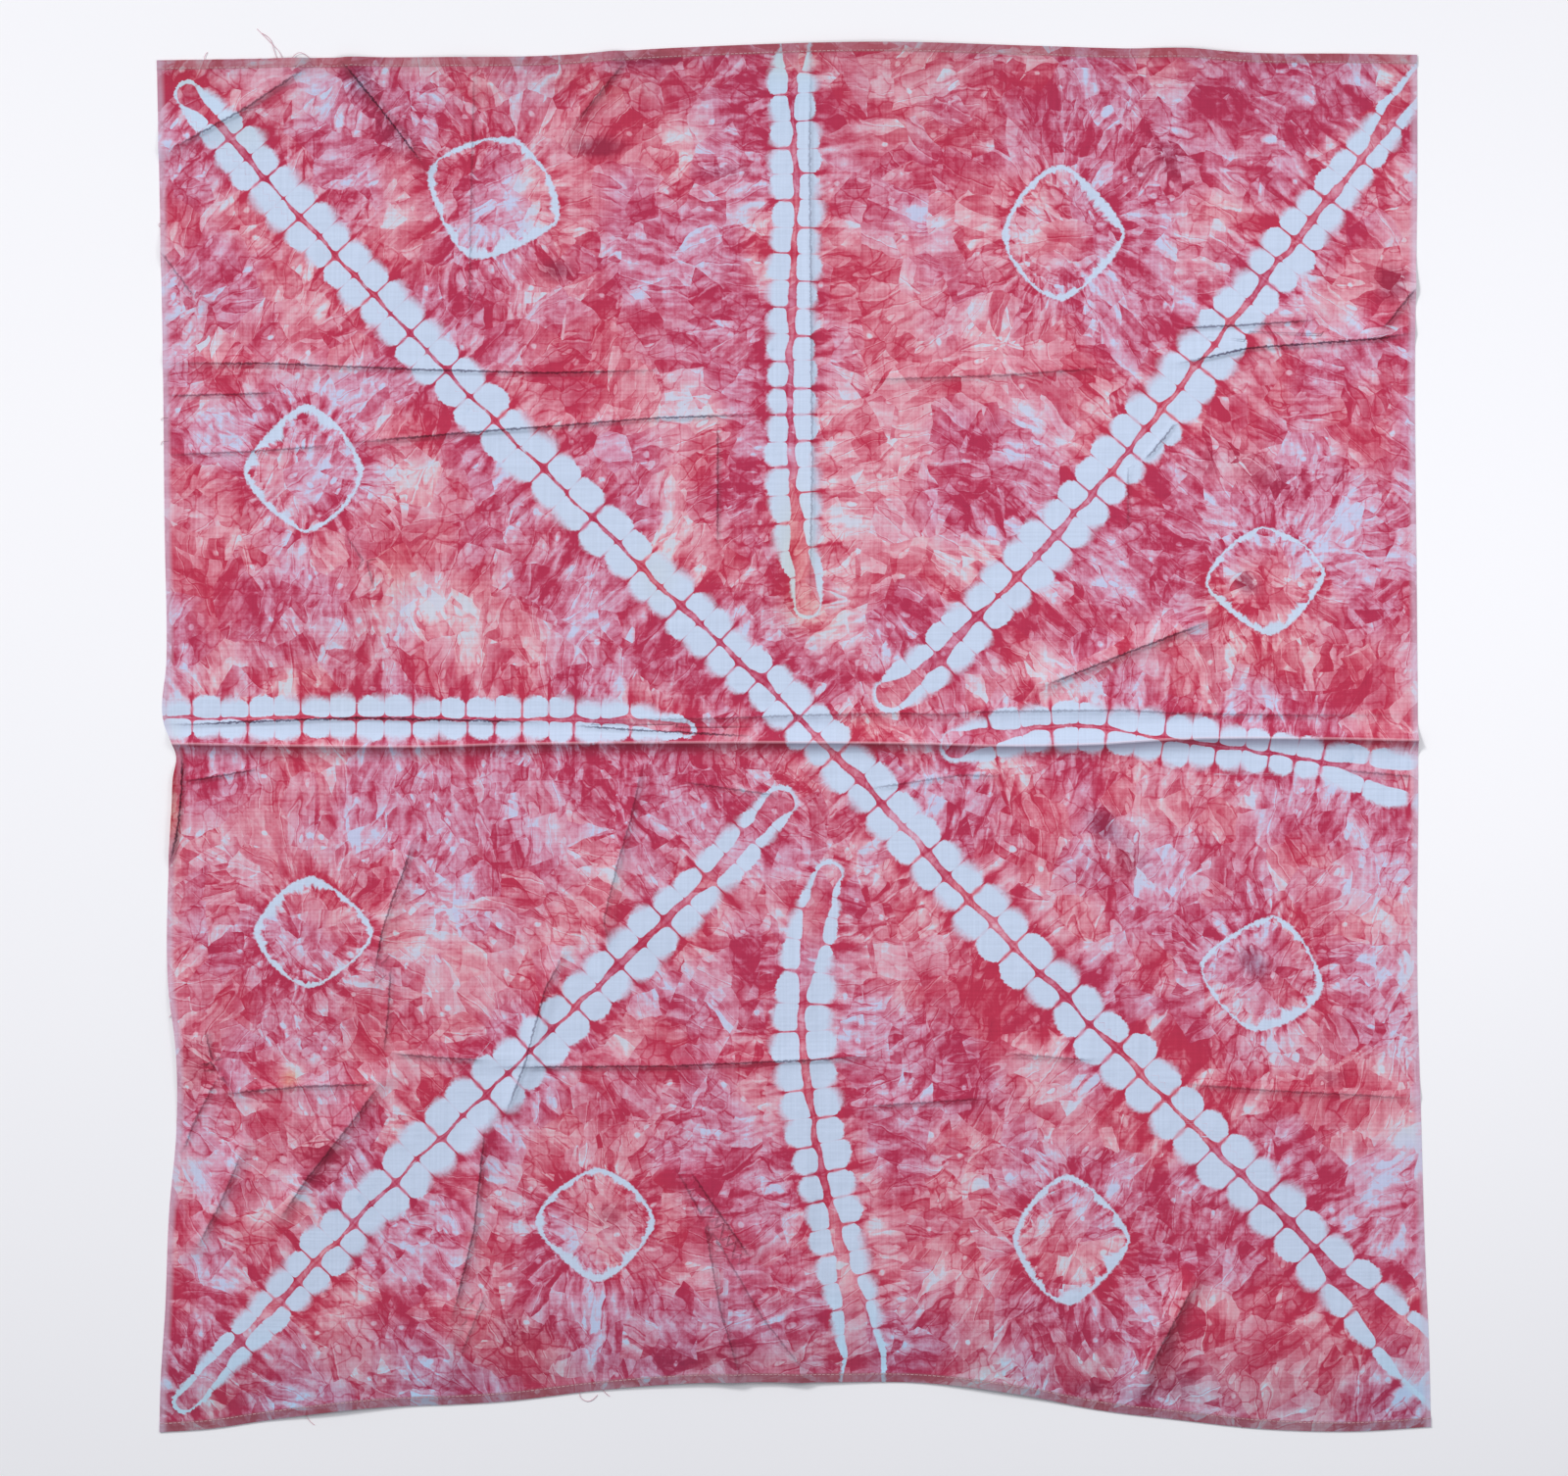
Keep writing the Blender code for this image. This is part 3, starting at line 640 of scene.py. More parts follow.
def hem_stitches():
    """Machine stitches along both hems: one short rounded stitch, and a copy of it every few millimetres."""
    bpy.ops.object.select_all(action="DESELECT")
    bpy.ops.mesh.primitive_cylinder_add(vertices=6, radius=STITCH_RADIUS, depth=STITCH_LENGTH, rotation=(0, math.pi / 2, 0))
    bpy.ops.object.transform_apply(location=False, rotation=True, scale=False)
    first = bpy.context.object
    copies = []
    inset = (HEM_WIDTH - 1.0 * MM) / CLOTH_LENGTH
    count = round(CLOTH_WIDTH / STITCH_SPACING)
    for up in (inset, 1 - inset):
        places = surface_point((np.arange(count) + 0.5) / count, np.full(count, up)) * MM
        ways = np.gradient(places, axis=0)
        for (x, y, z), way in zip(places, ways):
            copy = bpy.data.objects.new("hem_stitch", first.data.copy())
            copy.location = (x, y, z + HEM_THICKNESS)
            copy.rotation_euler = (0, 0, math.atan2(way[1], way[0]))
            bpy.context.collection.objects.link(copy)
            copies.append(copy)
    bpy.data.objects.remove(first)
    return joined(copies, "hem_stitches")


def wisp(points):
    """A loose end of yarn along points in mm."""
    curve = bpy.data.curves.new("yarn", "CURVE")
    curve.dimensions = "3D"
    curve.bevel_depth = YARN_RADIUS
    curve.bevel_resolution = 1
    curve.use_fill_caps = True
    spline = curve.splines.new("NURBS")
    spline.points.add(len(points) - 1)
    for place, (x, y, z) in zip(spline.points, points):
        place.co = (x * MM, y * MM, z * MM, 1)
    spline.use_endpoint_u = True
    spline.order_u = 3
    yarn = bpy.data.objects.new("yarn", curve)
    bpy.context.collection.objects.link(yarn)
    bpy.ops.object.select_all(action="DESELECT")
    yarn.select_set(True)
    bpy.context.view_layer.objects.active = yarn
    bpy.ops.object.convert(target="MESH")
    return bpy.context.object


def loose_ends():
    """Wisps of yarn that have worked out of the hems and the left selvedge."""
    return joined([wisp(points) for points in LOOSE_ENDS], "loose_yarn_ends")


def linear(colour):
    """An sRGB hex colour as linear red, green, blue and alpha."""
    parts = [int(colour[k : k + 2], 16) / 255 for k in (1, 3, 5)]
    return [c / 12.92 if c <= 0.04045 else ((c + 0.055) / 1.055) ** 2.4 for c in parts] + [1.0]


def add(tree, kind, feeds=(), **settings):
    """Adds a node with its settings, and feeds its inputs, in order or by name, from nodes, sockets or plain values."""
    node = tree.nodes.new(kind)
    for name, value in settings.items():
        setattr(node, name, value)
    for place, feed in feeds.items() if isinstance(feeds, dict) else enumerate(feeds):
        if feed is None:
            continue
        feed = feed.outputs[0] if isinstance(feed, bpy.types.Node) else feed
        if isinstance(feed, bpy.types.NodeSocket):
            tree.links.new(feed, node.inputs[place])
        else:
            node.inputs[place].default_value = feed
    return node


def stitched_band(tree, grain):
    """The two rows of undyed beads that stitches have kept, with the red lines between and round them.

    Returns how undyed the cloth is, how much deeper the dye lies outside, how much the band's own red shows, and its depth.
    """
    near = []
    for name in ("through band", "other bands"):
        place = add(tree, "ShaderNodeAttribute", attribute_name=name).outputs["Vector"]
        form = add(tree, "ShaderNodeAttribute", attribute_name=name + " form").outputs["Vector"]
        parts = add(tree, "ShaderNodeSeparateXYZ", [place])
        half = add(tree, "ShaderNodeSeparateXYZ", [form])
        off = add(tree, "ShaderNodeMath", [parts.outputs[1], parts.outputs[1]], operation="MULTIPLY")
        off = add(tree, "ShaderNodeMath", [parts.outputs[2], parts.outputs[2], off], operation="MULTIPLY_ADD")
        off = add(tree, "ShaderNodeMath", [off], operation="SQRT")
        near.append((place, form, add(tree, "ShaderNodeMath", [off, half], operation="SUBTRACT")))
    other = add(tree, "ShaderNodeMath", [near[0][2], near[1][2]], operation="GREATER_THAN")
    place = add(tree, "ShaderNodeMix", {0: other, 4: near[0][0], 5: near[1][0]}, data_type="VECTOR").outputs[1]
    form = add(tree, "ShaderNodeMix", {0: other, 4: near[0][1], 5: near[1][1]}, data_type="VECTOR").outputs[1]
    sure = add(tree, "ShaderNodeAttribute", attribute_name="pleats")
    sure = add(tree, "ShaderNodeSeparateXYZ", [sure.outputs["Vector"]])
    sure = add(tree, "ShaderNodeMix", {0: other, 2: 1.0, 3: sure.outputs[2]})

    place = add(tree, "ShaderNodeSeparateXYZ", [place])
    form = add(tree, "ShaderNodeSeparateXYZ", [form])
    side = add(tree, "ShaderNodeMath", [place.outputs[1], 0.0], operation="GREATER_THAN")
    count = add(tree, "ShaderNodeMath", [side, form.outputs[2], place.outputs[0]], operation="MULTIPLY_ADD")

    # Stitches pulled by hand wander by a millimetre or two, and so does the line between the rows
    row = add(tree, "ShaderNodeMath", [side, 7.3, other], operation="MULTIPLY_ADD")
    at = add(tree, "ShaderNodeCombineXYZ", [place.outputs[0], row])
    wander = add(tree, "ShaderNodeTexNoise", {"Vector": at, "Scale": 0.9, "Detail": 1.0})
    wander = add(tree, "ShaderNodeSeparateColor", [wander.outputs["Color"]])
    along = add(tree, "ShaderNodeTexNoise", {"W": place.outputs[0], "Scale": 0.8, "Detail": 1.0}, noise_dimensions="1D")
    across = add(tree, "ShaderNodeMath", [along, 3.6, place.outputs[1]], operation="MULTIPLY_ADD")
    across = add(tree, "ShaderNodeMath", [across, 1.8], operation="SUBTRACT")
    off = add(tree, "ShaderNodeMath", [across, across], operation="MULTIPLY")
    off = add(tree, "ShaderNodeMath", [place.outputs[2], place.outputs[2], off], operation="MULTIPLY_ADD")
    off = add(tree, "ShaderNodeMath", [off], operation="SQRT")
    count = add(tree, "ShaderNodeMath", [wander, 0.34, count], operation="MULTIPLY_ADD")
    count = add(tree, "ShaderNodeMath", [count, 0.17], operation="SUBTRACT")
    stitch = add(tree, "ShaderNodeMath", [count], operation="ROUND")
    gap = add(tree, "ShaderNodeMath", [count, stitch], operation="SUBTRACT")
    gap = add(tree, "ShaderNodeMath", [gap], operation="ABSOLUTE")
    gap_mm = add(tree, "ShaderNodeMath", [gap, STITCH_PITCH], operation="MULTIPLY")
    weak = add(tree, "ShaderNodeMath", [stitch, 1.0], operation="PINGPONG")
    lottery = add(tree, "ShaderNodeCombineXYZ", [stitch, row])
    lottery = add(tree, "ShaderNodeTexWhiteNoise", {"Vector": lottery}, noise_dimensions="3D")
    lottery = add(tree, "ShaderNodeSeparateColor", [lottery.outputs["Color"]])
    weak = add(tree, "ShaderNodeMath", [weak, lottery], operation="MULTIPLY")
    weak = add(tree, "ShaderNodeMath", [weak, 3.0], operation="MULTIPLY", use_clamp=True)
    wide = add(tree, "ShaderNodeMapRange", [form, 19.5, 21.5, 0.0, 0.85])
    through = add(tree, "ShaderNodeMath", [1.0, other], operation="SUBTRACT")
    wide = add(tree, "ShaderNodeMath", [wide, through], operation="MULTIPLY")
    pulled = add(tree, "ShaderNodeMath", [1.0, wide], operation="SUBTRACT")
    weak = add(tree, "ShaderNodeMath", [weak, pulled], operation="MULTIPLY")
    strong = add(tree, "ShaderNodeMath", [1.0, weak], operation="SUBTRACT")

    # A bead is round, so the band's edge is scalloped, deeper at a strong stitch
    width = add(tree, "ShaderNodeMath", [form, form.outputs[1]], operation="SUBTRACT")
    narrow = add(tree, "ShaderNodeMapRange", [width, 2.0, 10.0, 0.25, 1.0])
    bead = add(tree, "ShaderNodeMath", [count], operation="FLOOR")
    bead = add(tree, "ShaderNodeCombineXYZ", [bead, row, 3.7])
    bead = add(tree, "ShaderNodeTexWhiteNoise", {"Vector": bead}, noise_dimensions="3D")
    pinch = add(tree, "ShaderNodeMath", [gap, -2.0, 1.0], operation="MULTIPLY_ADD")
    pinch = add(tree, "ShaderNodeMath", [pinch, 2.6], operation="POWER")
    notch = add(tree, "ShaderNodeMath", [strong, 0.22, 0.15], operation="MULTIPLY_ADD")
    scallop = add(tree, "ShaderNodeMath", [pinch, notch], operation="MULTIPLY")
    size = add(tree, "ShaderNodeMath", [bead, 0.24, -0.12], operation="MULTIPLY_ADD")
    edge = add(tree, "ShaderNodeMath", [size, scallop], operation="SUBTRACT")
    edge = add(tree, "ShaderNodeMath", [edge, width, form], operation="MULTIPLY_ADD")

    # The dye creeps a little way under the stitches, more in some places
    soft = add(tree, "ShaderNodeMapRange", [wander.outputs[2], 0.40, 0.66, 0.7, 6.5])
    soft = add(tree, "ShaderNodeMath", [soft, narrow], operation="MULTIPLY")
    frayed = add(tree, "ShaderNodeMath", [grain, 0.5], operation="SUBTRACT")
    frayed = add(tree, "ShaderNodeMath", [frayed, 4.5, off], operation="MULTIPLY_ADD")
    inner = add(tree, "ShaderNodeMath", [edge, soft], operation="SUBTRACT")
    outer = add(tree, "ShaderNodeMath", [soft, 0.8, edge], operation="MULTIPLY_ADD")
    beads = add(tree, "ShaderNodeMapRange", [frayed, inner, outer, 1.0, 0.0], interpolation_type="SMOOTHSTEP")

    # Two thin red lines run between the rows, with pink between them where they part
    thin = add(tree, "ShaderNodeMath", [form.outputs[1], 2.2], operation="MINIMUM")
    core = add(tree, "ShaderNodeMapRange", [wander.outputs[1], 0.32, 0.68, -0.75, 0.45])
    core = add(tree, "ShaderNodeMath", [core, thin, form.outputs[1]], operation="MULTIPLY_ADD")
    past_core = add(tree, "ShaderNodeMath", [grain, 0.5], operation="SUBTRACT")
    past_core = add(tree, "ShaderNodeMath", [past_core, 1.6, off], operation="MULTIPLY_ADD")
    past_core = add(tree, "ShaderNodeMath", [past_core, core], operation="SUBTRACT")
    off_core = add(tree, "ShaderNodeMapRange", [past_core, -0.5, 0.7, 0.0, 1.0], interpolation_type="SMOOTHSTEP")
    rim = add(tree, "ShaderNodeMath", [off, core], operation="SUBTRACT")
    rim = add(tree, "ShaderNodeMath", [rim], operation="ABSOLUTE")
    rim = add(tree, "ShaderNodeMapRange", [rim, 0.4, 1.4, 0.36, 0.0])

    # Each stitch leaves a star on the core and a line across the band, strong or hardly seen
    off_root = add(tree, "ShaderNodeMath", [off, core], operation="SUBTRACT")
    off_root = add(tree, "ShaderNodeMath", [off_root, 0.0], operation="MAXIMUM")
    off_root = add(tree, "ShaderNodeMath", [off_root, 0.42], operation="POWER")
    gap_root = add(tree, "ShaderNodeMath", [gap_mm, 0.42], operation="POWER")
    star = add(tree, "ShaderNodeMath", [off_root, gap_root], operation="ADD")
    reach = add(tree, "ShaderNodeMath", [lottery.outputs[1], 0.6, 1.35], operation="MULTIPLY_ADD")
    reach = add(tree, "ShaderNodeMath", [strong, 0.62, reach], operation="MULTIPLY_ADD")
    reach = add(tree, "ShaderNodeMath", [reach, narrow], operation="MULTIPLY")
    past = add(tree, "ShaderNodeMath", [reach, 0.24], operation="ADD")
    off_star = add(tree, "ShaderNodeMapRange", [star, reach, past, 0.0, 1.0], interpolation_type="SMOOTHSTEP")
    lens = add(tree, "ShaderNodeMath", [off, edge], operation="DIVIDE")
    lens = add(tree, "ShaderNodeMath", [lens, 0.5], operation="PINGPONG")
    half = add(tree, "ShaderNodeMath", [lottery.outputs[2], strong], operation="MULTIPLY")
    half = add(tree, "ShaderNodeMath", [half, lens], operation="MULTIPLY")
    half = add(tree, "ShaderNodeMath", [half, 4.2, 0.7], operation="MULTIPLY_ADD")
    start = add(tree, "ShaderNodeMath", [edge, 7.0], operation="SUBTRACT")
    end = add(tree, "ShaderNodeMapRange", [off, start, edge, 0.06, 0.7], interpolation_type="SMOOTHSTEP")
    shown = add(tree, "ShaderNodeMath", [strong, 3.0], operation="POWER")
    shown = add(tree, "ShaderNodeMath", [end, shown], operation="MAXIMUM")
    shown = add(tree, "ShaderNodeMath", [shown, narrow], operation="MULTIPLY")
    line = add(tree, "ShaderNodeMapRange", [gap_mm, 0.2, half, shown, 0.0], interpolation_type="SMOOTHSTEP")
    off_line = add(tree, "ShaderNodeMath", [1.0, line], operation="SUBTRACT")
    undyed = add(tree, "ShaderNodeMath", [beads, off_core], operation="MULTIPLY")
    undyed = add(tree, "ShaderNodeMath", [undyed, off_star], operation="MULTIPLY")
    undyed = add(tree, "ShaderNodeMath", [undyed, off_line], operation="MULTIPLY")
    undyed = add(tree, "ShaderNodeMath", [undyed, sure], operation="MULTIPLY")

    # Outside, the dye is deepest in a flare behind each strong stitch and runs off in streaks along the old pleats
    outside = add(tree, "ShaderNodeMath", [off, edge], operation="SUBTRACT")
    spread = add(tree, "ShaderNodeMath", [outside, 0.42, 2.4], operation="MULTIPLY_ADD")
    flare = add(tree, "ShaderNodeMapRange", [gap_mm, 0.3, spread, 1.0, 0.0], interpolation_type="SMOOTHSTEP")
    fade = add(tree, "ShaderNodeMapRange", [outside, 0.0, 14.0, 0.5, 0.0], interpolation_type="SMOOTHSTEP")
    flare = add(tree, "ShaderNodeMath", [flare, fade], operation="MULTIPLY")
    flare = add(tree, "ShaderNodeMath", [flare, strong], operation="MULTIPLY")
    halo = add(tree, "ShaderNodeMapRange", [outside, 1.0, 10.0, 0.12, 0.0], interpolation_type="SMOOTHSTEP")
    deeper = add(tree, "ShaderNodeMath", [flare, halo], operation="ADD")
    trail = add(tree, "ShaderNodeMapRange", [gap_mm, 0.3, 1.5, 1.0, 0.0])
    fade = add(tree, "ShaderNodeMapRange", [outside, 0.0, 42.0, 0.42, 0.0])
    trail = add(tree, "ShaderNodeMath", [trail, fade], operation="MULTIPLY")
    deeper = add(tree, "ShaderNodeMath", [trail, strong, deeper], operation="MULTIPLY_ADD")
    far = add(tree, "ShaderNodeMath", [off, 0.035], operation="MULTIPLY")
    pleats = add(tree, "ShaderNodeCombineXYZ", [count, far, row])
    pleats = add(tree, "ShaderNodeVectorMath", [pleats, (2.0, 1.0, 1.0)], operation="MULTIPLY")
    pleats = add(tree, "ShaderNodeTexNoise", {"Vector": pleats, "Scale": 1.0, "Detail": 2.5, "Roughness": 0.6})
    pleats = add(tree, "ShaderNodeMapRange", [pleats, 0.34, 0.66, -0.36, 0.36])
    fade = add(tree, "ShaderNodeMapRange", [outside, 0.0, 48.0, 1.0, 0.0], interpolation_type="SMOOTHSTEP")
    deeper = add(tree, "ShaderNodeMath", [pleats, fade, deeper], operation="MULTIPLY_ADD")
    past_edge = add(tree, "ShaderNodeMapRange", [outside, -1.5, 0.0, 0.0, 1.0])
    deeper = add(tree, "ShaderNodeMath", [deeper, past_edge], operation="MULTIPLY")
    deeper = add(tree, "ShaderNodeMath", [deeper, sure], operation="MULTIPLY")

    # Between the rows the red is even; a wide core inside a loop keeps the mottled dye
    inside = add(tree, "ShaderNodeMapRange", [outside, -3.0, 0.0, 1.0, 0.0], interpolation_type="SMOOTHSTEP")
    mottled = add(tree, "ShaderNodeMapRange", [form.outputs[1], 1.2, 5.0, 0.7, 0.1])
    inside = add(tree, "ShaderNodeMath", [inside, mottled], operation="MULTIPLY")
    inside = add(tree, "ShaderNodeMath", [inside, sure], operation="MULTIPLY")
    red = add(tree, "ShaderNodeMath", [line, 0.2, rim], operation="MULTIPLY_ADD")
    red = add(tree, "ShaderNodeMath", [red, 0.70], operation="ADD")
    red = add(tree, "ShaderNodeMath", [off_star, -0.22, red], operation="MULTIPLY_ADD")
    return undyed, deeper, inside, red


def tied_ring(tree, grain):
    """The undyed line that a tied thread has kept, with jagged strokes of dye inside and streaks outside it."""
    ring = add(tree, "ShaderNodeAttribute", attribute_name="ring").outputs["Vector"]
    line = add(tree, "ShaderNodeSeparateXYZ", [ring]).outputs[2]
    flat = add(tree, "ShaderNodeVectorMath", [ring, (1.0, 1.0, 0.0)], operation="MULTIPLY")
    share = add(tree, "ShaderNodeVectorMath", [flat], operation="LENGTH").outputs["Value"]
    towards = add(tree, "ShaderNodeVectorMath", [flat], operation="NORMALIZE")
    seen = add(tree, "ShaderNodeTexCoord").outputs["Object"]
    towards = add(tree, "ShaderNodeVectorMath", [seen, (3.0, 3.0, 3.0), towards], operation="MULTIPLY_ADD")

    uneven = add(tree, "ShaderNodeTexNoise", {"Vector": towards, "Scale": 2.3, "Detail": 1.0})
    uneven = add(tree, "ShaderNodeMapRange", [uneven, 0.36, 0.64, 0.15, 1.15])
    line = add(tree, "ShaderNodeMath", [line, uneven], operation="MULTIPLY")
    jags = add(tree, "ShaderNodeTexNoise", {"Vector": towards, "Scale": 10.0, "Detail": 2.0, "Roughness": 0.6})
    jagged = add(tree, "ShaderNodeMapRange", [jags, 0.36, 0.64, 0.6, 1.4])
    inner = add(tree, "ShaderNodeMath", [line, jagged], operation="MULTIPLY")
    inner = add(tree, "ShaderNodeMath", [1.0, inner], operation="SUBTRACT")
    frayed = add(tree, "ShaderNodeMath", [grain, 0.5], operation="SUBTRACT")
    frayed = add(tree, "ShaderNodeMath", [frayed, 0.10, share], operation="MULTIPLY_ADD")
    start = add(tree, "ShaderNodeMath", [line, -0.8, inner], operation="MULTIPLY_ADD")
    undyed = add(tree, "ShaderNodeMapRange", [frayed, start, inner, 0.0, 1.0], interpolation_type="SMOOTHSTEP")
    outer = add(tree, "ShaderNodeMapRange", [frayed, 1.0, 1.04, 1.0, 0.0], interpolation_type="SMOOTHSTEP")
    undyed = add(tree, "ShaderNodeMath", [undyed, outer], operation="MULTIPLY")

    # Strokes of dye run in from the line and thin out towards the middle
    along = add(tree, "ShaderNodeMath", [share, 1.6], operation="MULTIPLY")
    rays = add(tree, "ShaderNodeVectorMath", [towards, (6.5, 6.5, 6.5)], operation="MULTIPLY")
    rays = add(tree, "ShaderNodeVectorMath", [rays, add(tree, "ShaderNodeCombineXYZ", [0.0, 0.0, along])])
    rays = add(tree, "ShaderNodeTexNoise", {"Vector": rays, "Scale": 0.8, "Detail": 3.0, "Roughness": 0.6})
    strokes = add(tree, "ShaderNodeMapRange", [rays, 0.42, 0.62, -0.16, 0.36])
    window = add(tree, "ShaderNodeMapRange", [share, 0.35, 0.95, 0.0, 1.0], interpolation_type="SMOOTHSTEP")
    strokes = add(tree, "ShaderNodeMath", [strokes, window, -0.08], operation="MULTIPLY_ADD")
    within = add(tree, "ShaderNodeMapRange", [share, 0.96, 1.0, 1.0, 0.0])
    strokes = add(tree, "ShaderNodeMath", [strokes, within], operation="MULTIPLY")

    # Outside, a dark hem of dye with ragged rays, then looser streaks
    ragged = add(tree, "ShaderNodeMapRange", [rays, 0.38, 0.62, 1.05, 1.45])
    halo = add(tree, "ShaderNodeMapRange", [share, 1.0, ragged, 0.32, 0.0])
    outside = add(tree, "ShaderNodeMapRange", [share, 0.98, 1.02, 0.0, 1.0])
    streaks = add(tree, "ShaderNodeMapRange", [rays, 0.36, 0.64, -0.22, 0.22])
    fade = add(tree, "ShaderNodeMapRange", [share, 1.05, 1.9, 1.0, 0.0], interpolation_type="SMOOTHSTEP")
    streaks = add(tree, "ShaderNodeMath", [streaks, fade, halo], operation="MULTIPLY_ADD")
    deeper = add(tree, "ShaderNodeMath", [streaks, outside, strokes], operation="MULTIPLY_ADD")
    return undyed, deeper


def mottled_dye(tree, seen, grain):
    """How deep the dye lies where the cloth was only bunched up, and how far its hue leans to purple.

    Each facet of the bunched cloth took its own depth, fading to one side and stroked along the old pleats.
    """
    push = add(
        tree, "ShaderNodeTexNoise", {"Vector": seen, "Scale": 34.0, "Detail": 3.0, "Roughness": 0.5},
        noise_dimensions="2D",
    )
    push = add(tree, "ShaderNodeVectorMath", [push.outputs["Color"], (0.5, 0.5, 0.5)], operation="SUBTRACT")
    pushed = add(tree, "ShaderNodeVectorMath", [push, (0.010, 0.010, 0.0), seen], operation="MULTIPLY_ADD")
    facets = add(tree, "ShaderNodeTexVoronoi", {"Vector": pushed, "Scale": 40.0}, voronoi_dimensions="2D")
    facet = add(tree, "ShaderNodeSeparateXYZ", [facets.outputs["Color"]])
    way = add(tree, "ShaderNodeAttribute", attribute_name="pleats")
    way = add(tree, "ShaderNodeSeparateXYZ", [way.outputs["Vector"]])
    angle = add(tree, "ShaderNodeMath", [way.outputs[1], way], operation="ARCTAN2")
    angle = add(tree, "ShaderNodeMath", [angle, -0.5], operation="MULTIPLY")
    angle = add(tree, "ShaderNodeMath", [facet, 1.3, angle], operation="MULTIPLY_ADD")
    angle = add(tree, "ShaderNodeMath", [angle, 0.65], operation="SUBTRACT")
    angle = add(tree, "ShaderNodeMath", [angle, math.radians(15)], operation="SNAP")
    turned = add(tree, "ShaderNodeVectorRotate", {"Vector": pushed, "Angle": angle}, rotation_type="Z_AXIS")

    calm = add(
        tree, "ShaderNodeTexNoise", {"Vector": seen, "Scale": 10.0, "Detail": 1.0}, noise_dimensions="2D"
    )
    busy = add(tree, "ShaderNodeMapRange", [calm, 0.36, 0.64, 0.45, 1.3])
    leaves = []
    for stretch, deepest in (((21.0, 62.0, 0.0), 0.16), ((58.0, 135.0, 0.0), 0.10)):
        grid = add(tree, "ShaderNodeVectorMath", [turned, stretch], operation="MULTIPLY")
        leaf = add(tree, "ShaderNodeTexVoronoi", {"Vector": grid, "Scale": 1.0}, voronoi_dimensions="2D")
        tilt = add(tree, "ShaderNodeVectorMath", [leaf.outputs["Color"], (0.5, 0.5, 0.5)], operation="SUBTRACT")
        own = add(tree, "ShaderNodeSeparateXYZ", [tilt])
        within = add(tree, "ShaderNodeVectorMath", [grid, leaf.outputs["Position"]], operation="SUBTRACT")
        within = add(tree, "ShaderNodeVectorMath", [within, tilt], operation="DOT_PRODUCT").outputs["Value"]
        depth = add(tree, "ShaderNodeMath", [own.outputs[2], 0.7, within], operation="MULTIPLY_ADD")
        leaves.append(add(tree, "ShaderNodeMath", [depth, 3.2 * deepest], operation="MULTIPLY"))

        # A few leaves are pale almonds with a deep outline
        almond = add(tree, "ShaderNodeMapRange", [own.outputs[1], 0.36, 0.44, 0.0, 1.0])
        pale = add(tree, "ShaderNodeMapRange", [leaf, 0.16, 0.26, -0.24, 0.0], interpolation_type="SMOOTHSTEP")
        outline = add(tree, "ShaderNodeMath", [leaf, 0.28, 0.04], operation="COMPARE")
        pale = add(tree, "ShaderNodeMath", [outline, 0.16, pale], operation="MULTIPLY_ADD")
        leaves.append(add(tree, "ShaderNodeMath", [pale, almond], operation="MULTIPLY"))
    strokes = add(tree, "ShaderNodeVectorMath", [turned, (24.0, 120.0, 1.0)], operation="MULTIPLY")
    strokes = add(
        tree, "ShaderNodeTexNoise", {"Vector": strokes, "Scale": 1.0, "Detail": 2.5, "Roughness": 0.6},
        noise_dimensions="2D",
    )
    strokes = add(tree, "ShaderNodeMapRange", [strokes, 0.33, 0.67, -0.185, 0.185])
    blots = add(
        tree, "ShaderNodeTexNoise", {"Vector": pushed, "Scale": 95.0, "Detail": 3.5, "Roughness": 0.7},
        noise_dimensions="2D",
    )
    blots = add(tree, "ShaderNodeMapRange", [blots, 0.34, 0.66, -0.135, 0.135])
    depth = add(tree, "ShaderNodeMath", [strokes, blots], operation="ADD")
    depth = add(tree, "ShaderNodeMath", [depth, busy], operation="MULTIPLY")
    clouds = add(
        tree, "ShaderNodeTexNoise", {"Vector": pushed, "Scale": 18.0, "Detail": 2.0, "Roughness": 0.55},
        noise_dimensions="2D",
    )
    clouds = add(tree, "ShaderNodeMapRange", [clouds, 0.3, 0.7, 0.35, 0.80])
    own = add(tree, "ShaderNodeMapRange", [facet.outputs[1], 0.0, 1.0, -0.10, 0.10])
    for part in (*leaves, clouds, own):
        depth = add(tree, "ShaderNodeMath", [depth, part], operation="ADD")

    # Veins of dye ran along the creases of the bunched cloth
    veins = add(tree, "ShaderNodeVectorMath", [push, (0.012, 0.012, 0.0), pushed], operation="MULTIPLY_ADD")
    veins = add(
        tree, "ShaderNodeTexVoronoi", {"Vector": veins, "Scale": 72.0}, voronoi_dimensions="2D",
        feature="DISTANCE_TO_EDGE",
    )
    veins = add(tree, "ShaderNodeMapRange", [veins, 0.0, 0.075, 0.24, -0.01])
    patchy = add(tree, "ShaderNodeMapRange", [facet.outputs[1], 0.2, 0.8, 0.0, 1.2])
    veins = add(tree, "ShaderNodeMath", [veins, patchy], operation="MULTIPLY")
    depth = add(tree, "ShaderNodeMath", [depth, veins], operation="ADD")

    # Thin lines, deep on one side and pale on the other, where the pleats were pressed together
    lines = add(tree, "ShaderNodeVectorMath", [turned, (7.0, 50.0, 1.0)], operation="MULTIPLY")
    lines = add(tree, "ShaderNodeTexNoise", {"Vector": lines, "Scale": 1.0, "Detail": 0.0}, noise_dimensions="2D")
    deep = add(tree, "ShaderNodeMath", [lines, 0.5, 0.010], operation="COMPARE")
    pale = add(tree, "ShaderNodeMath", [lines, 0.52, 0.010], operation="COMPARE")
    depth = add(tree, "ShaderNodeMath", [deep, 0.20, depth], operation="MULTIPLY_ADD")
    depth = add(tree, "ShaderNodeMath", [pale, -0.18, depth], operation="MULTIPLY_ADD")

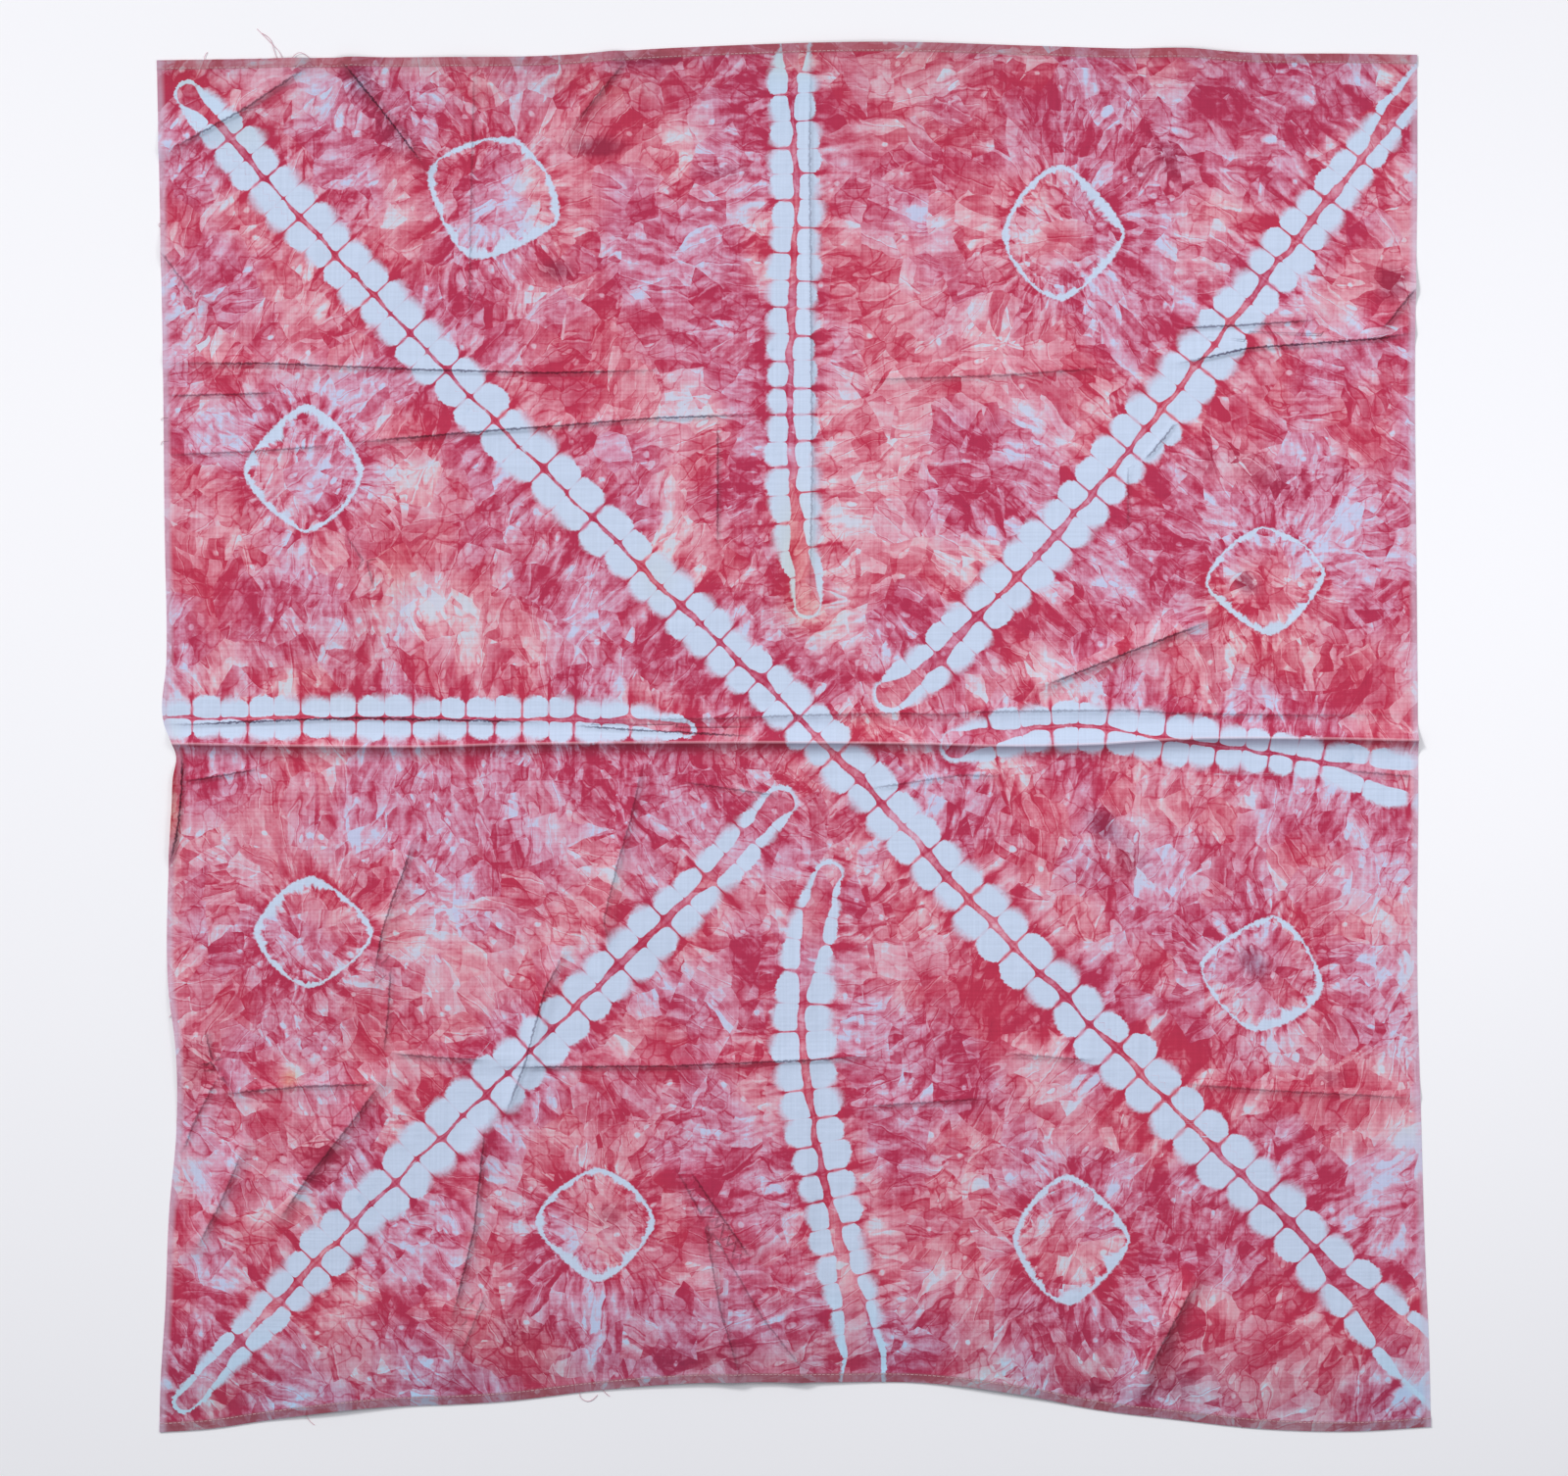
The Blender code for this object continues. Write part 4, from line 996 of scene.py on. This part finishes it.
    # A few pale spots, where a drop of wax or a crumb kept the dye off, and the lint of the yarn
    spot = add(tree, "ShaderNodeMath", [facet.outputs[2], 0.8], operation="GREATER_THAN")
    near = add(tree, "ShaderNodeMapRange", [facets, 0.05, 0.11, -0.45, 0.0], interpolation_type="SMOOTHSTEP")
    depth = add(tree, "ShaderNodeMath", [spot, near, depth], operation="MULTIPLY_ADD")
    lint = add(tree, "ShaderNodeMapRange", [grain, 0.3, 0.7, -0.05, 0.05])
    specks = add(tree, "ShaderNodeMapRange", [grain, 0.72, 0.77, 0.0, 0.4])
    depth = add(tree, "ShaderNodeMath", [depth, specks], operation="ADD")
    hue = add(tree, "ShaderNodeMapRange", [calm, 0.38, 0.62, -0.3, 0.8])
    hue = add(tree, "ShaderNodeMath", [facet, 0.7, hue], operation="MULTIPLY_ADD", use_clamp=True)
    return add(tree, "ShaderNodeMath", [depth, lint], operation="ADD"), hue


# The dye from palest to deepest, as it looks on the cloth
DYE_TONES = (
    (0.00, "#CACEE2"), (0.14, "#D7B8C8"), (0.30, "#DAA1B4"), (0.45, "#D58BA0"), (0.60, "#CD7289"),
    (0.75, "#C55872"), (0.90, "#BD405D"), (1.00, "#B72F4F"),
)
UNDYED_COTTON = "#C3D1E8"
HEM_GREY_BROWN = "#945E62"
HEM_GREYING_TINT = "#E0FDFF"
SELVEDGE_BLUE = "#C9BDD3"
PURPLE_TINT = "#F2F3FF"
CREAM_TINT = "#FFFDF7"
GREY_TINT = "#C0D2DC"
WARM_TINT = "#FFF3D2"
# Painted shade in the crook under the middle fold
CROOK_SHADE_TINT = "#A8929F"
# Painted shade along the fold lines and wrinkles
CREASE_SHADE_TINT = "#625069"
# Painted highlight along the crest of the middle fold
CREST_HIGHLIGHT_PINK = "#E6C3CF"


def dyed_cotton():
    """Plain-woven cotton, pleated, stitched and dyed: matte and lint-soft, with the weave's slubs just showing."""
    material = bpy.data.materials.new("plain-woven cotton, stitched and tied resist dye")
    material.use_nodes = True
    tree = material.node_tree
    tree.nodes.clear()
    seen = add(tree, "ShaderNodeTexCoord").outputs["Object"]
    grain = add(tree, "ShaderNodeTexNoise", {"Vector": seen, "Scale": 420.0, "Detail": 2.0, "Roughness": 0.6})

    # Slubs: threads are 0.4 mm apart, drawn as streaks some 1.5 mm wide and 60 mm long; the thick ones hold more dye
    warp = add(tree, "ShaderNodeVectorMath", [seen, (620.0, 16.0, 1.0)], operation="MULTIPLY")
    warp = add(tree, "ShaderNodeTexNoise", {"Vector": warp, "Scale": 1.0, "Detail": 1.0})
    weft = add(tree, "ShaderNodeVectorMath", [seen, (16.0, 620.0, 1.0)], operation="MULTIPLY")
    weft = add(tree, "ShaderNodeTexNoise", {"Vector": weft, "Scale": 1.0, "Detail": 1.0})
    slubs = add(tree, "ShaderNodeMath", [warp, weft], operation="ADD")

    washes = add(tree, "ShaderNodeAttribute", attribute_name="washes")
    washes = add(tree, "ShaderNodeSeparateXYZ", [washes.outputs["Vector"]])
    mottling, purple = mottled_dye(tree, seen, grain)
    depth = add(tree, "ShaderNodeMath", [washes, 0.75, mottling], operation="MULTIPLY_ADD")
    thick = add(tree, "ShaderNodeMapRange", [slubs, 0.7, 1.3, 0.055, -0.055])
    depth = add(tree, "ShaderNodeMath", [depth, thick], operation="ADD")
    smudge = add(tree, "ShaderNodeMath", [depth, 0.4, washes.outputs[1]], operation="MULTIPLY_ADD")
    smudge = add(tree, "ShaderNodeMapRange", [smudge, 0.40, 1.15, 0.0, 0.75], interpolation_type="SMOOTHSTEP")
    depth = add(tree, "ShaderNodeMath", [smudge, 0.08, depth], operation="MULTIPLY_ADD")
    band_undyed, band_deeper, inside, red = stitched_band(tree, grain)
    ring_undyed, ring_deeper = tied_ring(tree, grain)
    depth = add(tree, "ShaderNodeMath", [depth, band_deeper], operation="ADD")
    depth = add(tree, "ShaderNodeMath", [depth, ring_deeper], operation="ADD")
    depth = add(tree, "ShaderNodeMix", {0: inside, 2: depth, 3: red})
    tones = add(tree, "ShaderNodeValToRGB", [depth])
    ramp = tones.color_ramp
    for place, colour in DYE_TONES[1:-1]:
        ramp.elements.new(place)
    for element, (place, colour) in zip(ramp.elements, DYE_TONES):
        element.position, element.color = place, linear(colour)

    warm = add(tree, "ShaderNodeMath", [1.0, purple], operation="SUBTRACT")
    colour = tones.outputs[0]
    for amount, tint in ((purple, PURPLE_TINT), (warm, CREAM_TINT)):
        colour = add(
            tree, "ShaderNodeMix", {0: amount, 6: colour, 7: linear(tint)}, data_type="RGBA", blend_type="MULTIPLY"
        ).outputs[2]
    undyed = add(tree, "ShaderNodeMath", [band_undyed, ring_undyed], operation="MAXIMUM")
    colour = add(
        tree, "ShaderNodeMix", {0: undyed, 6: colour, 7: linear(UNDYED_COTTON)}, data_type="RGBA"
    ).outputs[2]
    stain = add(tree, "ShaderNodeMath", [washes.outputs[2], 0.65], operation="MULTIPLY")
    for amount, tint in ((smudge, GREY_TINT), (stain, WARM_TINT)):
        colour = add(
            tree, "ShaderNodeMix", {0: amount, 6: colour, 7: linear(tint)}, data_type="RGBA", blend_type="MULTIPLY"
        ).outputs[2]

    # The hems are turned twice, so they look darker and greyer; the cloth is tinted cooler and greyer near them, more
    # towards the bottom hem; the selvedges are paler
    flat = add(tree, "ShaderNodeUVMap", uv_map="UVMap")
    flat = add(tree, "ShaderNodeSeparateXYZ", [flat])
    from_hem = add(tree, "ShaderNodeMath", [flat.outputs[1], CLOTH_LENGTH / 2], operation="PINGPONG")
    hem = add(tree, "ShaderNodeMapRange", [from_hem, HEM_WIDTH - 0.4 * MM, HEM_WIDTH + 0.6 * MM, 0.5, 0.0])
    colour = add(tree, "ShaderNodeMix", {0: hem, 6: colour, 7: linear(HEM_GREY_BROWN)}, data_type="RGBA").outputs[2]
    # Cooler and greyer near the hems, fading out over 80 mm and strongest at the bottom
    greying_near_hems = add(tree, "ShaderNodeMapRange", [from_hem, 5.0 * MM, 80.0 * MM, 1.0, 0.0])
    lower = add(tree, "ShaderNodeMapRange", [flat.outputs[1], 0.0, CLOTH_LENGTH, 1.0, 0.3])
    greying_near_hems = add(tree, "ShaderNodeMath", [greying_near_hems, lower], operation="MULTIPLY")
    colour = add(
        tree, "ShaderNodeMix", {0: greying_near_hems, 6: colour, 7: linear(HEM_GREYING_TINT)}, data_type="RGBA", blend_type="MULTIPLY"
    ).outputs[2]
    from_selvedge = add(tree, "ShaderNodeMath", [flat, CLOTH_WIDTH / 2], operation="PINGPONG")
    selvedge = add(tree, "ShaderNodeMapRange", [from_selvedge, 2.5 * MM, 6.0 * MM, 0.5, 0.0])
    clean = add(tree, "ShaderNodeMath", [stain, -1.3, 1.0], operation="MULTIPLY_ADD", use_clamp=True)
    selvedge = add(tree, "ShaderNodeMath", [selvedge, clean], operation="MULTIPLY")
    colour = add(tree, "ShaderNodeMix", {0: selvedge, 6: colour, 7: linear(SELVEDGE_BLUE)}, data_type="RGBA").outputs[2]

    # A painted highlight runs pale along the crest of the middle fold, and painted shade lies dark in the crook below
    # it
    from_crest = add(tree, "ShaderNodeMath", [flat.outputs[1], CLOTH_LENGTH / 2], operation="SUBTRACT")
    painted_crest_highlight = add(tree, "ShaderNodeMath", [from_crest], operation="ABSOLUTE")
    painted_crest_highlight = add(tree, "ShaderNodeMapRange", [painted_crest_highlight, 0.3 * MM, 1.0 * MM, 0.35, 0.0])
    painted_crook_shade = add(tree, "ShaderNodeMapRange", [from_crest, -9.0 * MM, -1.0 * MM, 0.0, 0.75])
    below = add(tree, "ShaderNodeMath", [from_crest, -0.7 * MM], operation="LESS_THAN")
    painted_crook_shade = add(tree, "ShaderNodeMath", [painted_crook_shade, below], operation="MULTIPLY")
    colour = add(
        tree, "ShaderNodeMix", {0: painted_crook_shade, 6: colour, 7: linear(CROOK_SHADE_TINT)}, data_type="RGBA",
        blend_type="MULTIPLY",
    ).outputs[2]
    colour = add(tree, "ShaderNodeMix", {0: painted_crest_highlight, 6: colour, 7: linear(CREST_HIGHLIGHT_PINK)}, data_type="RGBA").outputs[2]

    shade = add(tree, "ShaderNodeMapRange", [slubs, 0.7, 1.3, 0.955, 1.045])
    colour = add(tree, "ShaderNodeVectorMath", [colour, shade], operation="SCALE")
    tree.links.new(shade.outputs[0], colour.inputs["Scale"])

    # Relief in mm: soft crumples, slubs, and a keen ridge along each pressed fold and wrinkle, with painted shade in a
    # thin crackled line on each one's lee side
    relief = add(
        tree, "ShaderNodeTexNoise", {"Vector": seen, "Scale": 52.0, "Detail": 3.0, "Roughness": 0.5},
        noise_dimensions="2D",
    )
    relief = add(tree, "ShaderNodeMath", [slubs, 0.1, relief], operation="MULTIPLY_ADD")
    for name in ("fold lines", "wrinkles"):
        line = add(tree, "ShaderNodeAttribute", attribute_name=name)
        line = add(tree, "ShaderNodeSeparateXYZ", [line.outputs["Vector"]])
        gap = add(tree, "ShaderNodeMath", [line], operation="ABSOLUTE")
        ridge = add(tree, "ShaderNodeMapRange", [gap, 0.0, 5.0, 1.5, 0.0], interpolation_type="SMOOTHERSTEP")
        relief = add(tree, "ShaderNodeMath", [ridge, line.outputs[1], relief], operation="MULTIPLY_ADD")
        # Painted shade: a thin dark line just to the lee of each fold line and wrinkle
        painted_crease_shade = add(tree, "ShaderNodeMath", [grain, 3.0, line], operation="MULTIPLY_ADD")
        painted_crease_shade = add(tree, "ShaderNodeMath", [painted_crease_shade, 2.1], operation="SUBTRACT")
        painted_crease_shade = add(tree, "ShaderNodeMath", [painted_crease_shade], operation="ABSOLUTE")
        painted_crease_shade = add(tree, "ShaderNodeMapRange", [painted_crease_shade, 0.3, 1.1, 0.9, 0.0])
        painted_crease_shade = add(tree, "ShaderNodeMath", [painted_crease_shade, line.outputs[1]], operation="MULTIPLY")
        colour = add(
            tree, "ShaderNodeMix", {0: painted_crease_shade, 6: colour, 7: linear(CREASE_SHADE_TINT)}, data_type="RGBA",
            blend_type="MULTIPLY",
        ).outputs[2]
    bump = add(tree, "ShaderNodeBump", {"Strength": 1.0, "Distance": 1.0 * MM, "Height": relief})
    roughness = add(tree, "ShaderNodeMapRange", [slubs, 0.7, 1.3, 0.97, 0.86])
    cloth = add(tree, "ShaderNodeBsdfPrincipled", {
        "Base Color": colour, "Roughness": roughness, "Normal": bump, "Specular IOR Level": 0.18,
        "Sheen Weight": 0.12, "Sheen Roughness": 0.6,
    })
    add(tree, "ShaderNodeOutputMaterial", [cloth])
    return material


def sewing_thread(name, colour):
    """Spun cotton yarn or sewing thread: dull, with a trace of lint along it."""
    material = bpy.data.materials.new(name)
    material.use_nodes = True
    tree = material.node_tree
    tree.nodes.clear()
    seen = add(tree, "ShaderNodeTexCoord").outputs["Object"]
    fluff = add(tree, "ShaderNodeTexNoise", {"Vector": seen, "Scale": 300.0, "Detail": 1.0})
    pale = [0.6 * c + 0.4 for c in linear(colour)]
    tone = add(tree, "ShaderNodeMix", {0: fluff, 6: linear(colour), 7: pale}, data_type="RGBA")
    thread = add(tree, "ShaderNodeBsdfPrincipled", {"Base Color": tone.outputs[2], "Roughness": 0.85})
    add(tree, "ShaderNodeOutputMaterial", [thread])
    return material


def photo_floor():
    """A broad pale floor of matt board under the cloth."""
    bpy.ops.object.select_all(action="DESELECT")
    bpy.ops.mesh.primitive_plane_add(size=8, location=(0, 0, 0))
    floor = bpy.context.object
    floor.name = "pale_floor"
    material = bpy.data.materials.new("matt white board, painted")
    material.use_nodes = True
    tree = material.node_tree
    tree.nodes.clear()
    seen = add(tree, "ShaderNodeTexCoord").outputs["Object"]
    cloudy = add(tree, "ShaderNodeTexNoise", {"Vector": seen, "Scale": 3.0, "Detail": 2.0})
    colour = add(tree, "ShaderNodeMix", {0: cloudy, 6: linear("#F2F3F7"), 7: linear("#F6F6F9")}, data_type="RGBA")
    board = add(tree, "ShaderNodeBsdfPrincipled", {"Base Color": colour.outputs[2], "Roughness": 0.9})
    add(tree, "ShaderNodeOutputMaterial", [board])
    floor.data.materials.append(material)


def area_light(name, place, aim, size, energy, colour):
    """A round soft light that hangs at a place and faces a point, all in metres and watts."""
    dx, dy, dz = (a - p for a, p in zip(aim, place))
    turn = (math.atan2(math.hypot(dx, dy), -dz), 0, math.atan2(-dx, dy) if dx or dy else 0)
    bpy.ops.object.light_add(type="AREA", location=place, rotation=turn)
    light = bpy.context.object
    light.name = name
    light.data.shape = "DISK"
    light.data.size = size
    light.data.energy = energy
    light.data.color = colour


def studio_light():
    """A soft light from the upper left that models the folds, two low overhead ones, and an even white surround."""
    world = bpy.data.worlds.new("white surround")
    world.use_nodes = True
    background = world.node_tree.nodes["Background"]
    background.inputs["Color"].default_value = linear("#F6F8FF")
    background.inputs["Strength"].default_value = 0.34
    bpy.context.scene.world = world
    area_light("soft_light_from_the_left", (-2.9, 3.3, 3.6), (0, 0, 0), 1.3, 185, (1.0, 0.985, 0.97))
    area_light("soft_light_over_the_right", (0.605, 0.098, 1.07), (0.605, 0.098, 0), 0.7, 4.7, (1.0, 0.995, 1.0))
    area_light("soft_light_over_the_left", (-0.71, 0.043, 1.0), (-0.71, 0.043, 0), 0.7, 2.1, (1.0, 1.0, 1.0))
    bpy.context.scene.view_settings.view_transform = "Standard"


def camera_overhead():
    """The camera hangs straight above the cloth, as in the photograph."""
    height, view_width, sensor_width = 3.0, 1.1424, 36.0
    bpy.ops.object.camera_add(location=(-7.1 * MM, -0.5 * MM, height), rotation=(0, 0, 0))
    camera = bpy.context.object
    camera.data.sensor_width = sensor_width
    camera.data.lens = sensor_width * height / view_width
    bpy.context.scene.camera = camera


cloth = headscarf_sheet()
cloth.data.materials.clear()
cloth.data.materials.append(dyed_cotton())
stitches = hem_stitches()
stitches.data.materials.append(sewing_thread("three-ply cotton sewing thread, dyed with the cloth", "#A8606E"))
yarn_ends = loose_ends()
yarn_ends.data.materials.append(sewing_thread("single cotton yarn, pulled out of the weave", "#C98A9C"))
for piece in (cloth, stitches, yarn_ends):
    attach(piece, "root")
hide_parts("headscarf")
photo_floor()
studio_light()
camera_overhead()
